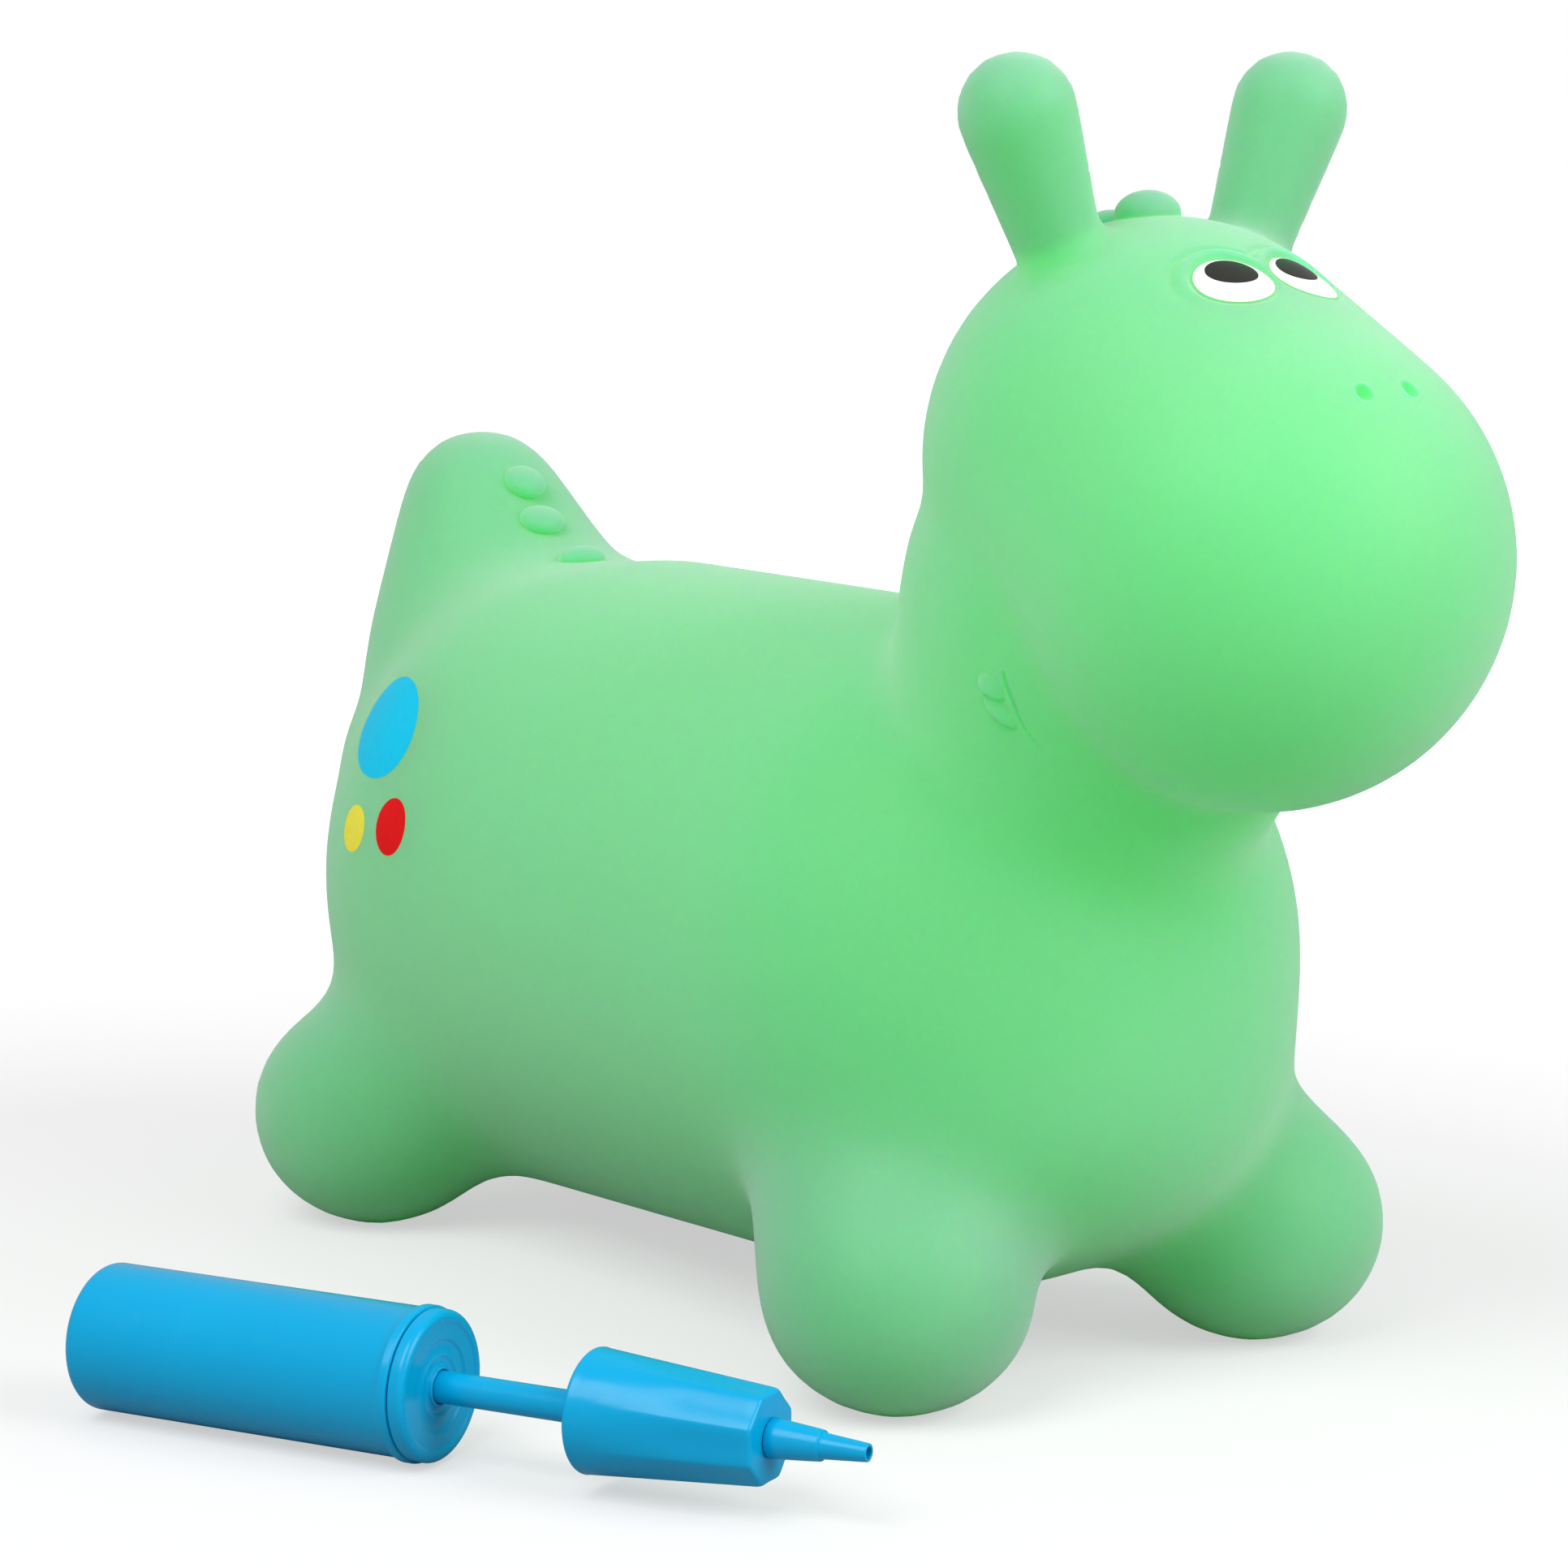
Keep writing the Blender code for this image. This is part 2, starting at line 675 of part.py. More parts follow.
def build_piston(slide, plastic, rubber):
    """The piston on the rod's inner end, its ring in a groove, and the flap over the rod's bore."""
    start = piston_start()
    outer = barrel_bore_radius() - slide_gap
    groove = outer - piston_ring_thickness
    groove_low = start + (piston_length - piston_ring_thickness) / 2 - touch_gap
    groove_high = groove_low + piston_ring_thickness + 2 * touch_gap
    seat_end = start + piston_length / 2 - touch_gap
    socket = rod_diameter / 2 + touch_gap
    bore = rod_bore / 2
    hub = piston_hub_diameter / 2
    hub_end = start + piston_length + piston_hub_length
    profile = [(bore, start), (outer, start), (outer, groove_low), (groove, groove_low), (groove, groove_high),
               (outer, groove_high), (outer, start + piston_length), (hub, start + piston_length), (hub, hub_end),
               (socket, hub_end), (socket, seat_end), (bore, seat_end)]
    add('pump_piston', turned_mesh(profile), plastic, slide)

    middle = (groove_low + groove_high) / 2
    half = piston_ring_thickness / 2
    ring_inner = groove + touch_gap
    ring_outer = outer + slide_gap / 4
    profile = [(ring_inner, middle - half), (ring_outer - half / 2, middle - half), (ring_outer, middle - half / 2),
               (ring_outer, middle + half / 2), (ring_outer - half / 2, middle + half), (ring_inner, middle + half)]
    add('pump_piston_ring', turned_mesh(profile), rubber, slide)

    flap = check_flap_diameter / 2
    under = start - touch_gap
    profile = [(0, under - check_flap_thickness), (flap, under - check_flap_thickness), (flap, under), (0, under)]
    add('pump_check_flap', turned_mesh(profile, 24), rubber, slide)


def build_grip(slide, mat):
    """A tapered grip with long shallow flutes that fade out towards its wide end."""
    start = grip_start()
    end = start + grip_length
    wide = grip_wide_diameter / 2
    narrow = grip_narrow_diameter / 2
    socket = rod_diameter / 2 + touch_gap
    socket_end = rod_end_in_grip() + touch_gap
    nozzle_socket = nozzle_spigot_radius() + touch_gap
    air_bore = rod_bore / 2
    segments = 6 * flute_count
    rows = 5
    profile = [(socket, start + grip_recess), (wide - grip_recess_wall, start + grip_recess),
               (wide - grip_recess_wall, start)]
    profile += round_corner(wide - grip_edge_round, start + grip_edge_round, grip_edge_round, -90, 2)
    for row in range(1, rows):
        share = row / rows
        profile.append((wide + (narrow - wide) * share, start + grip_length * share))
    profile += round_corner(narrow - grip_edge_round, end - grip_edge_round, grip_edge_round, 0, 2)
    profile += [(nozzle_socket, end), (nozzle_socket, end - nozzle_spigot_length - touch_gap),
                (air_bore, end - nozzle_spigot_length - touch_gap), (air_bore, socket_end), (socket, socket_end)]
    bm = turned_mesh(profile, segments)
    recess_edge = narrow - 2 * grip_edge_round
    fade_start_share = 0.12      # of the grip's length
    fade_length_share = 0.5
    roundness = 0.6
    for vertex in bm.verts:
        radius = math.hypot(vertex.co.x, vertex.co.y)
        share = (vertex.co.z - start) / grip_length
        if radius > recess_edge and share > 0:
            angle = math.atan2(vertex.co.y, vertex.co.x)
            fade = min(1, max(0, (share - fade_start_share) / fade_length_share))
            depth = flute_depth * fade * ((1 + math.cos(flute_count * angle)) / 2) ** roundness
            vertex.co.xy *= 1 - depth / radius
    return add('pump_grip', bm, mat, slide)


def nozzle_spigot_radius():
    return nozzle_tip_diameter / 2


def build_nozzle(slide, mat):
    start = grip_start() + grip_length + touch_gap
    base_end = start + nozzle_base_length
    end = base_end + nozzle_tip_length
    bore = nozzle_bore / 2
    spigot = nozzle_spigot_radius()
    edge = nozzle_edge_round
    profile = [(bore, start - nozzle_spigot_length), (spigot, start - nozzle_spigot_length), (spigot, start),
               (nozzle_base_diameter / 2, start), (nozzle_base_top_diameter / 2, base_end - edge),
               (nozzle_base_top_diameter / 2 - edge, base_end), (nozzle_tip_diameter / 2, base_end),
               (nozzle_tip_top_diameter / 2, end - edge), (nozzle_tip_top_diameter / 2 - edge, end), (bore, end)]
    return add('pump_nozzle', turned_mesh(profile, 32), mat, slide)


def main():
    for obj in list(bpy.data.objects):
        bpy.data.objects.remove(obj)

    vinyl = material('green vinyl', (0.242, 0.679, 0.332), 0.55)
    pump_plastic = material('blue plastic', (0.0, 0.386, 0.694), 0.25)
    mats = {'white': material('white paint', (0.955, 0.965, 0.939), 0.4),
            'black': material('black paint', (0.047, 0.048, 0.040), 0.35),
            'blue': material('blue paint', (0.0, 0.571, 0.863), 0.4),
            'yellow': material('yellow paint', (0.888, 0.791, 0.084), 0.4),
            'red': material('red paint', (0.783, 0.002, 0.003), 0.4)}
    plug_plastic = material('plug plastic', (0.85, 0.85, 0.83), 0.45)
    rubber = material('black rubber', (0.02, 0.02, 0.02), 0.7)

    animal = add_empty('animal', Matrix.Translation((animal_x, animal_y, 0)))
    surface, tree, belly = build_skin(animal, vinyl)
    build_paint(surface, tree, animal, mats)
    build_plug(belly, animal, plug_plastic)

    axis_height = barrel_diameter / 2 + barrel_flange_height
    lie_down = Matrix.Rotation(pump_heading, 4, 'Z') @ Matrix.Rotation(math.pi / 2, 4, 'Y')
    pump = add_empty('pump', Matrix.Translation(
        (animal_x + pump_end_x, animal_y + pump_end_y, axis_height)) @ lie_down)
    slide = add_empty('pump_slide', Matrix.Identity(4), pump)
    build_barrel(pump, pump_plastic)
    build_collar(pump, pump_plastic)
    build_rod(slide, pump_plastic)
    build_piston(slide, pump_plastic, rubber)
    build_grip(slide, pump_plastic)
    build_nozzle(slide, pump_plastic)


main()
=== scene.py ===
# Looks for the bouncy ride-on animal and its hand pump
import math

import bmesh
import bpy
from mathutils import Matrix, Vector
from mathutils.bvhtree import BVHTree


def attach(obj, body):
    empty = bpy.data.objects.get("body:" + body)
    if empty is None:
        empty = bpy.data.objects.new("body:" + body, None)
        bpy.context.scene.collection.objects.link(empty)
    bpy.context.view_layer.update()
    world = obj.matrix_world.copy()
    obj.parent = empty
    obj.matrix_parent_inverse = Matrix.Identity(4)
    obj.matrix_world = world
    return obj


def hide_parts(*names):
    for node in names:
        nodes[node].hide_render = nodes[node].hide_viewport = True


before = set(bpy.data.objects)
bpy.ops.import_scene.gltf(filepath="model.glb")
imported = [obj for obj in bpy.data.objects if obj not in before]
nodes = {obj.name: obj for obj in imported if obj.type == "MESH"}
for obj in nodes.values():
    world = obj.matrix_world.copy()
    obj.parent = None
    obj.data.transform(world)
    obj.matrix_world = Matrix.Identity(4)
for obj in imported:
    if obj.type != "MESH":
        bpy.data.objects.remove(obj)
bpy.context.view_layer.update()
print("frame loaded")


# Small helpers

def pick(*pieces):
    bpy.ops.object.select_all(action="DESELECT")
    for piece in pieces:
        piece.select_set(True)
    bpy.context.view_layer.objects.active = pieces[0]


def openMesh(piece):
    pick(piece)
    bpy.ops.object.mode_set(mode="EDIT")
    bpy.ops.mesh.select_all(action="SELECT")


def closeMesh():
    bpy.ops.object.mode_set(mode="OBJECT")


def keepPlace(piece):  # puts the piece's place into its mesh
    pick(piece)
    bpy.ops.object.transform_apply(location=True, rotation=True, scale=True)


def finishWith(piece, kind, **values):  # adds a modifier and applies it
    pick(piece)
    modifier = piece.modifiers.new(kind.lower(), kind)
    for key, value in values.items():
        setattr(modifier, key, value)
    bpy.ops.object.modifier_apply(modifier=modifier.name)


def smooth(piece, angle):  # smooth shading, with an edge wherever faces turn by more than the angle
    pick(piece)
    bpy.ops.object.shade_smooth_by_angle(angle=math.radians(angle))


def join(pieces, name):
    pick(*pieces)
    if len(pieces) > 1:
        bpy.ops.object.join()
    joined = bpy.context.object
    joined.name = name
    joined.data.name = name
    return joined


def newBall(centre, radii):
    bpy.ops.object.select_all(action="DESELECT")
    bpy.ops.mesh.primitive_uv_sphere_add(segments=48, ring_count=24, radius=1)
    ball = bpy.context.object
    ball.matrix_world = Matrix.Translation(centre) @ Matrix.Diagonal((*radii, 1))
    keepPlace(ball)
    return ball


def stretchOver(name, *balls):  # one taut skin over a few balls
    skin = join([newBall(Vector(centre), radii) for centre, radii in balls], name)
    openMesh(skin)
    bpy.ops.mesh.delete(type="EDGE_FACE")
    bpy.ops.mesh.select_all(action="SELECT")
    bpy.ops.mesh.convex_hull()
    closeMesh()
    return skin


def fuse(pieces, name, voxel, rounding):  # one skin, its hollows rounded over that length
    skin = join(pieces, name)
    finishWith(skin, "REMESH", mode="VOXEL", voxel_size=voxel)
    finishWith(skin, "SMOOTH", factor=0.5, iterations=max(1, round((2 * rounding / voxel) ** 2)))
    return skin


def remember(piece):  # the form as it is now, to aim at later
    mesh = piece.data
    copy = bmesh.new()
    copy.from_mesh(mesh)
    tree = BVHTree.FromBMesh(copy)
    copy.free()
    return {"tree": tree, "spots": [vertex.co.copy() for vertex in mesh.vertices],
            "normals": [vertex.normal.copy() for vertex in mesh.vertices],
            "faces": [tuple(face.vertices) for face in mesh.polygons]}


def seatOn(form, centre, yaw, pitch, up=Vector((0, 0, 1))):
    # the place where a line from the centre leaves the form, with Z outwards
    yaw, pitch = math.radians(yaw), math.radians(pitch)
    ray = Vector((math.sin(yaw) * math.cos(pitch), -math.cos(yaw) * math.cos(pitch), math.sin(pitch)))
    hit, _, index, _ = form["tree"].ray_cast(centre, ray)
    out = Vector()
    for corner in form["faces"][index]:
        out += form["normals"][corner] / max((form["spots"][corner] - hit).length, 1e-5)
    out.normalize()
    across = up.cross(out).normalized()
    along = out.cross(across)
    return Matrix.Translation(hit) @ Matrix((across, along, out)).transposed().to_4x4()


# Camera, at the photograph's angle

animal = {"x": 0.09516, "y": 0.03943}
camera = {"place": (-1.0303, -1.3877, 0.4612), "aim": (0.5848, 0.7961, -0.1558), "lens": 106.83,
          "sensor": 36, "near": 0.05, "far": 60}

bpy.ops.object.camera_add(
    location=(camera["place"][0] + animal["x"], camera["place"][1] + animal["y"], camera["place"][2]))
view = bpy.context.object
view.rotation_euler = Vector(camera["aim"]).to_track_quat("-Z", "Y").to_euler()
view.data.sensor_fit = "HORIZONTAL"
view.data.sensor_width = camera["sensor"]
view.data.lens = camera["lens"]
view.data.clip_start = camera["near"]
view.data.clip_end = camera["far"]
bpy.context.scene.camera = view


# Materials

def newMaterial(name, colour, roughness):
    finish = bpy.data.materials.new(name)
    finish.use_nodes = True
    shader = finish.node_tree.nodes["Principled BSDF"]
    shader.inputs["Base Color"].default_value = (*colour, 1)
    shader.inputs["Roughness"].default_value = roughness
    finish.diffuse_color = (*colour, 1)
    return finish, finish.node_tree, shader


def addNode(tree, kind, **values):
    node = tree.nodes.new(kind)
    for key, value in values.items():
        if key in node.inputs:
            node.inputs[key].default_value = value
        else:
            setattr(node, key, value)
    return node


def tintBetween(tree, shader, low, high, factor):
    mix = addNode(tree, "ShaderNodeMix", data_type="RGBA")
    mix.inputs["A"].default_value = (*low, 1)
    mix.inputs["B"].default_value = (*high, 1)
    tree.links.new(factor, mix.inputs["Factor"])
    tree.links.new(mix.outputs["Result"], shader.inputs["Base Color"])


def noiseAt(tree, scale, detail):
    place = addNode(tree, "ShaderNodeTexCoord")
    noise = addNode(tree, "ShaderNodeTexNoise", Scale=scale, Detail=detail)
    tree.links.new(place.outputs["Object"], noise.inputs["Vector"])
    return noise.outputs["Fac"]


def bumpFrom(tree, shader, height, strength, distance, under=None):
    bump = addNode(tree, "ShaderNodeBump", Strength=strength, Distance=distance)
    tree.links.new(height, bump.inputs["Height"])
    if under:
        tree.links.new(under.outputs["Normal"], bump.inputs["Normal"])
    tree.links.new(bump.outputs["Normal"], shader.inputs["Normal"])
    return bump


noiseEnds = {"low": 0.3, "high": 0.7}  # a noise hardly goes past these


def spread(tree, value, low, high):
    scale = addNode(tree, "ShaderNodeMapRange")
    tree.links.new(value, scale.inputs["Value"])
    scale.inputs["From Min"].default_value = noiseEnds["low"]
    scale.inputs["From Max"].default_value = noiseEnds["high"]
    scale.inputs["To Min"].default_value = low
    scale.inputs["To Max"].default_value = high
    return scale.outputs["Result"]


# In the looks, a noise is (scale, detail) and a bump is (strength, distance)
vinylLook = {
    "colour": (0.040, 0.610, 0.158), "pale": (0.053, 0.635, 0.175), "roughness": 0.50, "mirror": 0.2,
    "bloom": 0.48, "bloomSpread": 0.9, "under": 1.0, "underReach": (0.002, 0.70, 0.03),
    "clouds": (9, 3), "patches": (60, 4), "smoother": 0.03, "rougher": 0.05,
    "waves": (22, 2), "waveBump": (0.10, 0.002), "grain": (900, 3), "grainBump": (0.06, 0.0004)}
paintLook = {
    "mirror": 0.12, "shade": 0.93, "mottle": (260, 3), "mottleLow": 0.2,
    "grain": (700, 2), "grainBump": (0.08, 0.0002)}
plasticLook = {
    "clouds": (30, 2), "cloudsLow": 0.4, "patches": (160, 3), "smoother": 0.04, "rougher": 0.06,
    "waves": (55, 1), "waveBump": (0.10, 0.0010), "grain": (1400, 2), "grainBump": (0.03, 0.0002)}


def vinylMaterial():
    finish, tree, shader = newMaterial("soft green vinyl", vinylLook["colour"], vinylLook["roughness"])
    shader.inputs["Subsurface Weight"].default_value = vinylLook["under"]
    shader.inputs["Subsurface Radius"].default_value = vinylLook["underReach"]
    shader.inputs["Subsurface Scale"].default_value = 1
    shader.inputs["Specular IOR Level"].default_value = vinylLook["mirror"]
    shader.inputs["Sheen Weight"].default_value = vinylLook["bloom"]  # the powdery, pale bloom of soft vinyl
    shader.inputs["Sheen Roughness"].default_value = vinylLook["bloomSpread"]
    tintBetween(tree, shader, vinylLook["colour"], vinylLook["pale"], noiseAt(tree, *vinylLook["clouds"]))
    rough = spread(tree, noiseAt(tree, *vinylLook["patches"]), vinylLook["roughness"] - vinylLook["smoother"],
                   vinylLook["roughness"] + vinylLook["rougher"])
    tree.links.new(rough, shader.inputs["Roughness"])
    wavy = bumpFrom(tree, shader, noiseAt(tree, *vinylLook["waves"]), *vinylLook["waveBump"])
    bumpFrom(tree, shader, noiseAt(tree, *vinylLook["grain"]), *vinylLook["grainBump"], wavy)
    return finish


def paintMaterial(name, colour, roughness):
    finish, tree, shader = newMaterial(name, colour, roughness)
    shader.inputs["Specular IOR Level"].default_value = paintLook["mirror"]
    shade = [channel * paintLook["shade"] for channel in colour]
    mottle = spread(tree, noiseAt(tree, *paintLook["mottle"]), paintLook["mottleLow"], 1.0)
    tintBetween(tree, shader, shade, colour, mottle)
    bumpFrom(tree, shader, noiseAt(tree, *paintLook["grain"]), *paintLook["grainBump"])
    return finish


def plasticMaterial(name, colour, deep, roughness, mirror):
    finish, tree, shader = newMaterial(name, colour, roughness)
    shader.inputs["Specular IOR Level"].default_value = mirror
    clouds = spread(tree, noiseAt(tree, *plasticLook["clouds"]), plasticLook["cloudsLow"], 1.0)
    tintBetween(tree, shader, deep, colour, clouds)
    rough = spread(tree, noiseAt(tree, *plasticLook["patches"]), roughness - plasticLook["smoother"],
                   roughness + plasticLook["rougher"])
    tree.links.new(rough, shader.inputs["Roughness"])
    wavy = bumpFrom(tree, shader, noiseAt(tree, *plasticLook["waves"]), *plasticLook["waveBump"])
    bumpFrom(tree, shader, noiseAt(tree, *plasticLook["grain"]), *plasticLook["grainBump"], wavy)
    return finish


vinyl = vinylMaterial()
whitePaint = paintMaterial("white paint", (0.93, 0.94, 0.92), 0.40)
blackPaint = paintMaterial("black paint", (0.030, 0.031, 0.027), 0.30)
bluePaint = paintMaterial("blue paint", (0.0, 0.620, 0.930), 0.45)
yellowPaint = paintMaterial("yellow paint", (0.960, 0.870, 0.070), 0.45)
redPaint = paintMaterial("red paint", (0.860, 0.002, 0.004), 0.45)
bluePlastic = plasticMaterial("blue moulded plastic", (0.0, 0.390, 0.720), (0.0, 0.370, 0.695), 0.22, 0.25)
plugPlastic = plasticMaterial("plug plastic", (0.80, 0.80, 0.77), (0.74, 0.74, 0.71), 0.42, 0.4)
blackRubber = plasticMaterial("black rubber", (0.022, 0.022, 0.022), (0.014, 0.014, 0.014), 0.62, 0.4)
print("materials made")


def wear(piece, finish, body, node):  # gives the piece its finish and its place in the frame
    piece.data.materials.clear()
    piece.data.materials.append(finish)
    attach(piece, body)
    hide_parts(node)


# The vinyl animal: hulls stretched over balls, blended in steps

body = {
    "seat": 0.2650, "belly": 0.0090, "halfWidth": 0.1190,
    "rumpBack": 0.1240, "rumpHalfLength": 0.1180,
    "chestFront": 0.0945, "chestHalfLength": 0.1260, "chestLift": 0.0080,
    "brisket": (0, -0.1140, 0.1050), "brisketRadii": (0.1060, 0.1080, 0.0750)}
feet = {
    "front": {"end": -1, "track": 0.1630, "reach": 0.1620, "radius": 0.0495},
    "rear": {"end": 1, "track": 0.1710, "reach": 0.1720, "radius": 0.0515},
    "squash": 0.915, "flat": 0.0018, "hipRadius": 0.0415, "hipHeight": 0.1000, "hipAcross": 0.44, "hipAlong": 0.62}
tail = {
    "tip": (0, 0.2245, 0.2763), "tipRadius": 0.0340,
    "root": (0, 0.1885, 0.1805), "rootRadii": (0.0770, 0.0590, 0.0590),
    "waist": (0, 0.2015, 0.2220), "waistRadii": (0.0640, 0.0520, 0.0400),
    "rumpFoot": (0, 0.1500, 0.1400), "rumpFootRadii": (0.0800, 0.0905, 0.0600),
    "flare": (0, 0.1690, 0.1760), "flareRadii": (0.0940, 0.0760, 0.0640),
    "web": (0, 0.1920, 0.2280), "webRadii": (0.0530, 0.0450, 0.0400),
    "webFoot": (0, 0.1180, 0.1920), "webFootRadii": (0.1020, 0.0620, 0.0620)}
head = {
    "skull": (0, -0.2000, 0.3260), "skullRadius": 0.0810,
    "muzzleReach": 0.0507, "muzzleDrop": 0.0307, "muzzleRadius": 0.0838,
    "neckFootRadius": 0.0660, "neckFootForward": 0.44, "neckFootRise": 0.24, "neckBack": 0.15, "neckDrop": 0.62,
    "earRootRadius": 0.0135, "earTipRadius": 0.0200, "earTop": 0.4613, "earBack": 0.0046,
    "earRootAngle": 32, "earLean": 22, "earRootDepth": 0.88}
blending = {"coarse": 0.0050, "fine": 0.0042, "body": 0.0105, "neck": 0.0090, "jaw": 0.0035, "ear": 0.0030}


def bodyForms():
    middle = (body["seat"] + body["belly"]) / 2
    halfHeight = (body["seat"] - body["belly"]) / 2
    rump = Vector((0, body["rumpBack"], middle))
    chest = Vector((0, -body["chestFront"], middle + body["chestLift"] / 2))
    forms = [stretchOver(
        "barrel of the body",
        (rump, (body["halfWidth"], body["rumpHalfLength"], halfHeight)),
        (chest, (body["halfWidth"], body["chestHalfLength"], halfHeight - body["chestLift"] / 2)),
        (body["brisket"], body["brisketRadii"]))]
    for side in (-1, 1):
        for foot in (feet["front"], feet["rear"]):
            hip = (side * feet["hipAcross"] * body["halfWidth"], foot["end"] * feet["hipAlong"] * foot["reach"],
                   feet["hipHeight"])
            halfFoot = feet["squash"] * foot["radius"]
            loss = blending["body"] ** 2 * halfFoot / foot["radius"] ** 2
            forms.append(stretchOver(
                "leg", (hip, (feet["hipRadius"],) * 3),
                ((side * foot["track"] / 2, foot["end"] * foot["reach"], halfFoot - loss - feet["flat"]),
                 (foot["radius"], foot["radius"], halfFoot))))
    root = (tail["root"], tail["rootRadii"])
    forms.append(stretchOver(
        "tail", root, (tail["waist"], tail["waistRadii"]), (tail["tip"], (tail["tipRadius"],) * 3)))
    forms.append(stretchOver(
        "tail's foot", root, (tail["flare"], tail["flareRadii"]), (tail["rumpFoot"], tail["rumpFootRadii"])))
    forms.append(stretchOver(
        "taut skin before the tail", (tail["web"], tail["webRadii"]), (tail["webFoot"], tail["webFootRadii"])))
    return forms, chest


def neckForm(chest):
    foot = chest + Vector((0, -head["neckFootForward"] * body["chestHalfLength"],
                           head["neckFootRise"] * (body["seat"] - body["belly"])))
    top = Vector(head["skull"]) + head["skullRadius"] * Vector((0, head["neckBack"], -head["neckDrop"]))
    return stretchOver("neck", (foot, (head["neckFootRadius"],) * 3), (top, (head["skullRadius"],) * 3))


def headForm():
    muzzle = Vector(head["skull"]) + Vector((0, -head["muzzleReach"], -head["muzzleDrop"]))
    return stretchOver("head", (head["skull"], (head["skullRadius"],) * 3), (muzzle, (head["muzzleRadius"],) * 3))


def earForm(side):
    angle, lean = math.radians(head["earRootAngle"]), math.radians(head["earLean"])
    middle = Vector(head["skull"]) + Vector((0, head["earBack"], 0))
    depth = head["earRootDepth"] * head["skullRadius"]
    root = middle + depth * Vector((side * math.sin(angle), 0, math.cos(angle)))
    tip = root + (head["earTop"] - head["earTipRadius"] - root.z) * Vector((side * math.tan(lean), 0, 1))
    return stretchOver("ear", (root, (head["earRootRadius"],) * 3), (tip, (head["earTipRadius"],) * 3))


forms, chestMiddle = bodyForms()
skin = fuse(forms, "vinylSkin", blending["coarse"], blending["body"])
skin = fuse([skin, neckForm(chestMiddle)], "vinylSkin", blending["coarse"], blending["neck"])
skin = fuse([skin, headForm()], "vinylSkin", blending["coarse"], blending["jaw"])
skin = fuse([skin, earForm(-1), earForm(1)], "vinylSkin", blending["fine"], blending["ear"])
print("skin blended:", len(skin.data.polygons), "faces")

# Moulded details, pushed out of the skin

def lift(piece, place, reach, height, side=0):  # moves vertices near a seat outwards by height(x, y)
    back = place.inverted()
    out = place.to_3x3().col[2]
    for vertex in piece.data.vertices:
        if (vertex.co - place.translation).length < reach and vertex.co.x * side >= 0:
            spot = back @ vertex.co
            if abs(spot.z) < 0.6 * reach:
                vertex.co += out * height(spot.x, spot.y)


def refine(piece, spots, *reaches):  # smaller faces round a few spots, halved again at each closer reach
    for reach in reaches:
        openMesh(piece)
        bpy.ops.mesh.select_all(action="DESELECT")
        closeMesh()
        for face in piece.data.polygons:
            face.select = any((face.center - spot).length < reach for spot in spots)
        bpy.ops.object.mode_set(mode="EDIT")
        bpy.ops.mesh.select_mode(type="FACE")
        bpy.ops.mesh.subdivide(number_cuts=1)
        bpy.ops.mesh.vertices_smooth(factor=0.5, repeat=2)
        bpy.ops.mesh.select_face_by_sides(number=4, type="GREATER", extend=False)
        bpy.ops.mesh.quads_convert_to_tris(ngon_method="BEAUTY")
        bpy.ops.mesh.select_mode(type="VERT")
        closeMesh()


def knob(piece, place, radii, raised, soft):  # pushes the skin out onto an oval ball, from a point deep in it
    ball = place @ Matrix.Translation((0, 0, raised)) @ Matrix.Diagonal((*radii, 1))
    back = ball.inverted()
    deep = 0.85
    for vertex in piece.data.vertices:
        if (vertex.co - place.translation).length < 1.7 * max(radii):
            ray = back @ vertex.co + Vector((0, 0, deep))
            far = ray.length
            ray.normalize()
            if ray.z > 0:
                reach = deep * ray.z + math.sqrt(deep * deep * (ray.z * ray.z - 1) + 1)
                if reach > far - 4 * soft:
                    far = max(far, reach) + soft * math.log(1 + math.exp(-abs(far - reach) / soft))
                    vertex.co = ball @ (ray * far - Vector((0, 0, deep)))


def nearPath(point, path):  # how far a point is from a path of (point, share), and the share there
    best, share = 1, 0
    for (start, low), (end, high) in zip(path, path[1:]):
        along = end - start
        part = min(1, max(0, (point - start).dot(along) / along.length_squared))
        far = (point - start - along * part).length
        if far < best:
            best, share = far, low + (high - low) * part
    return best, share


def press(piece, path, out, width, depth):  # a fine groove along a path
    middle = sum((point for point, share in path), Vector()) / len(path)
    reach = max((point - middle).length for point, share in path) + width
    for vertex in piece.data.vertices:
        if (vertex.co - middle).length < reach:
            far, share = nearPath(vertex.co, path)
            if far < width:
                vertex.co -= out * depth * share * ridge(far, width)


def ridge(value, width):  # a round-topped bump, 1 at 0 and 0 past the width
    share = abs(value) / width
    return 0.5 + 0.5 * math.cos(math.pi * share) if share < 1 else 0


seatEnd = {"centre": (0, 0.138, 0.262), "halfWidth": 0.060, "halfLength": 0.045, "depth": 0.0028, "reach": 0.075}


def seatDip(x, y):  # the saddle sinks a little before the tail
    far = math.hypot(x / seatEnd["halfWidth"], y / seatEnd["halfLength"])
    return -seatEnd["depth"] * (1 - far * far) ** 2 if far < 1 else 0


lift(skin, Matrix.Translation(seatEnd["centre"]), seatEnd["reach"], seatDip)
plain = remember(skin)
skull = Vector(head["skull"])
rumpMiddle = Vector((0, body["rumpBack"], (body["seat"] + body["belly"]) / 2))


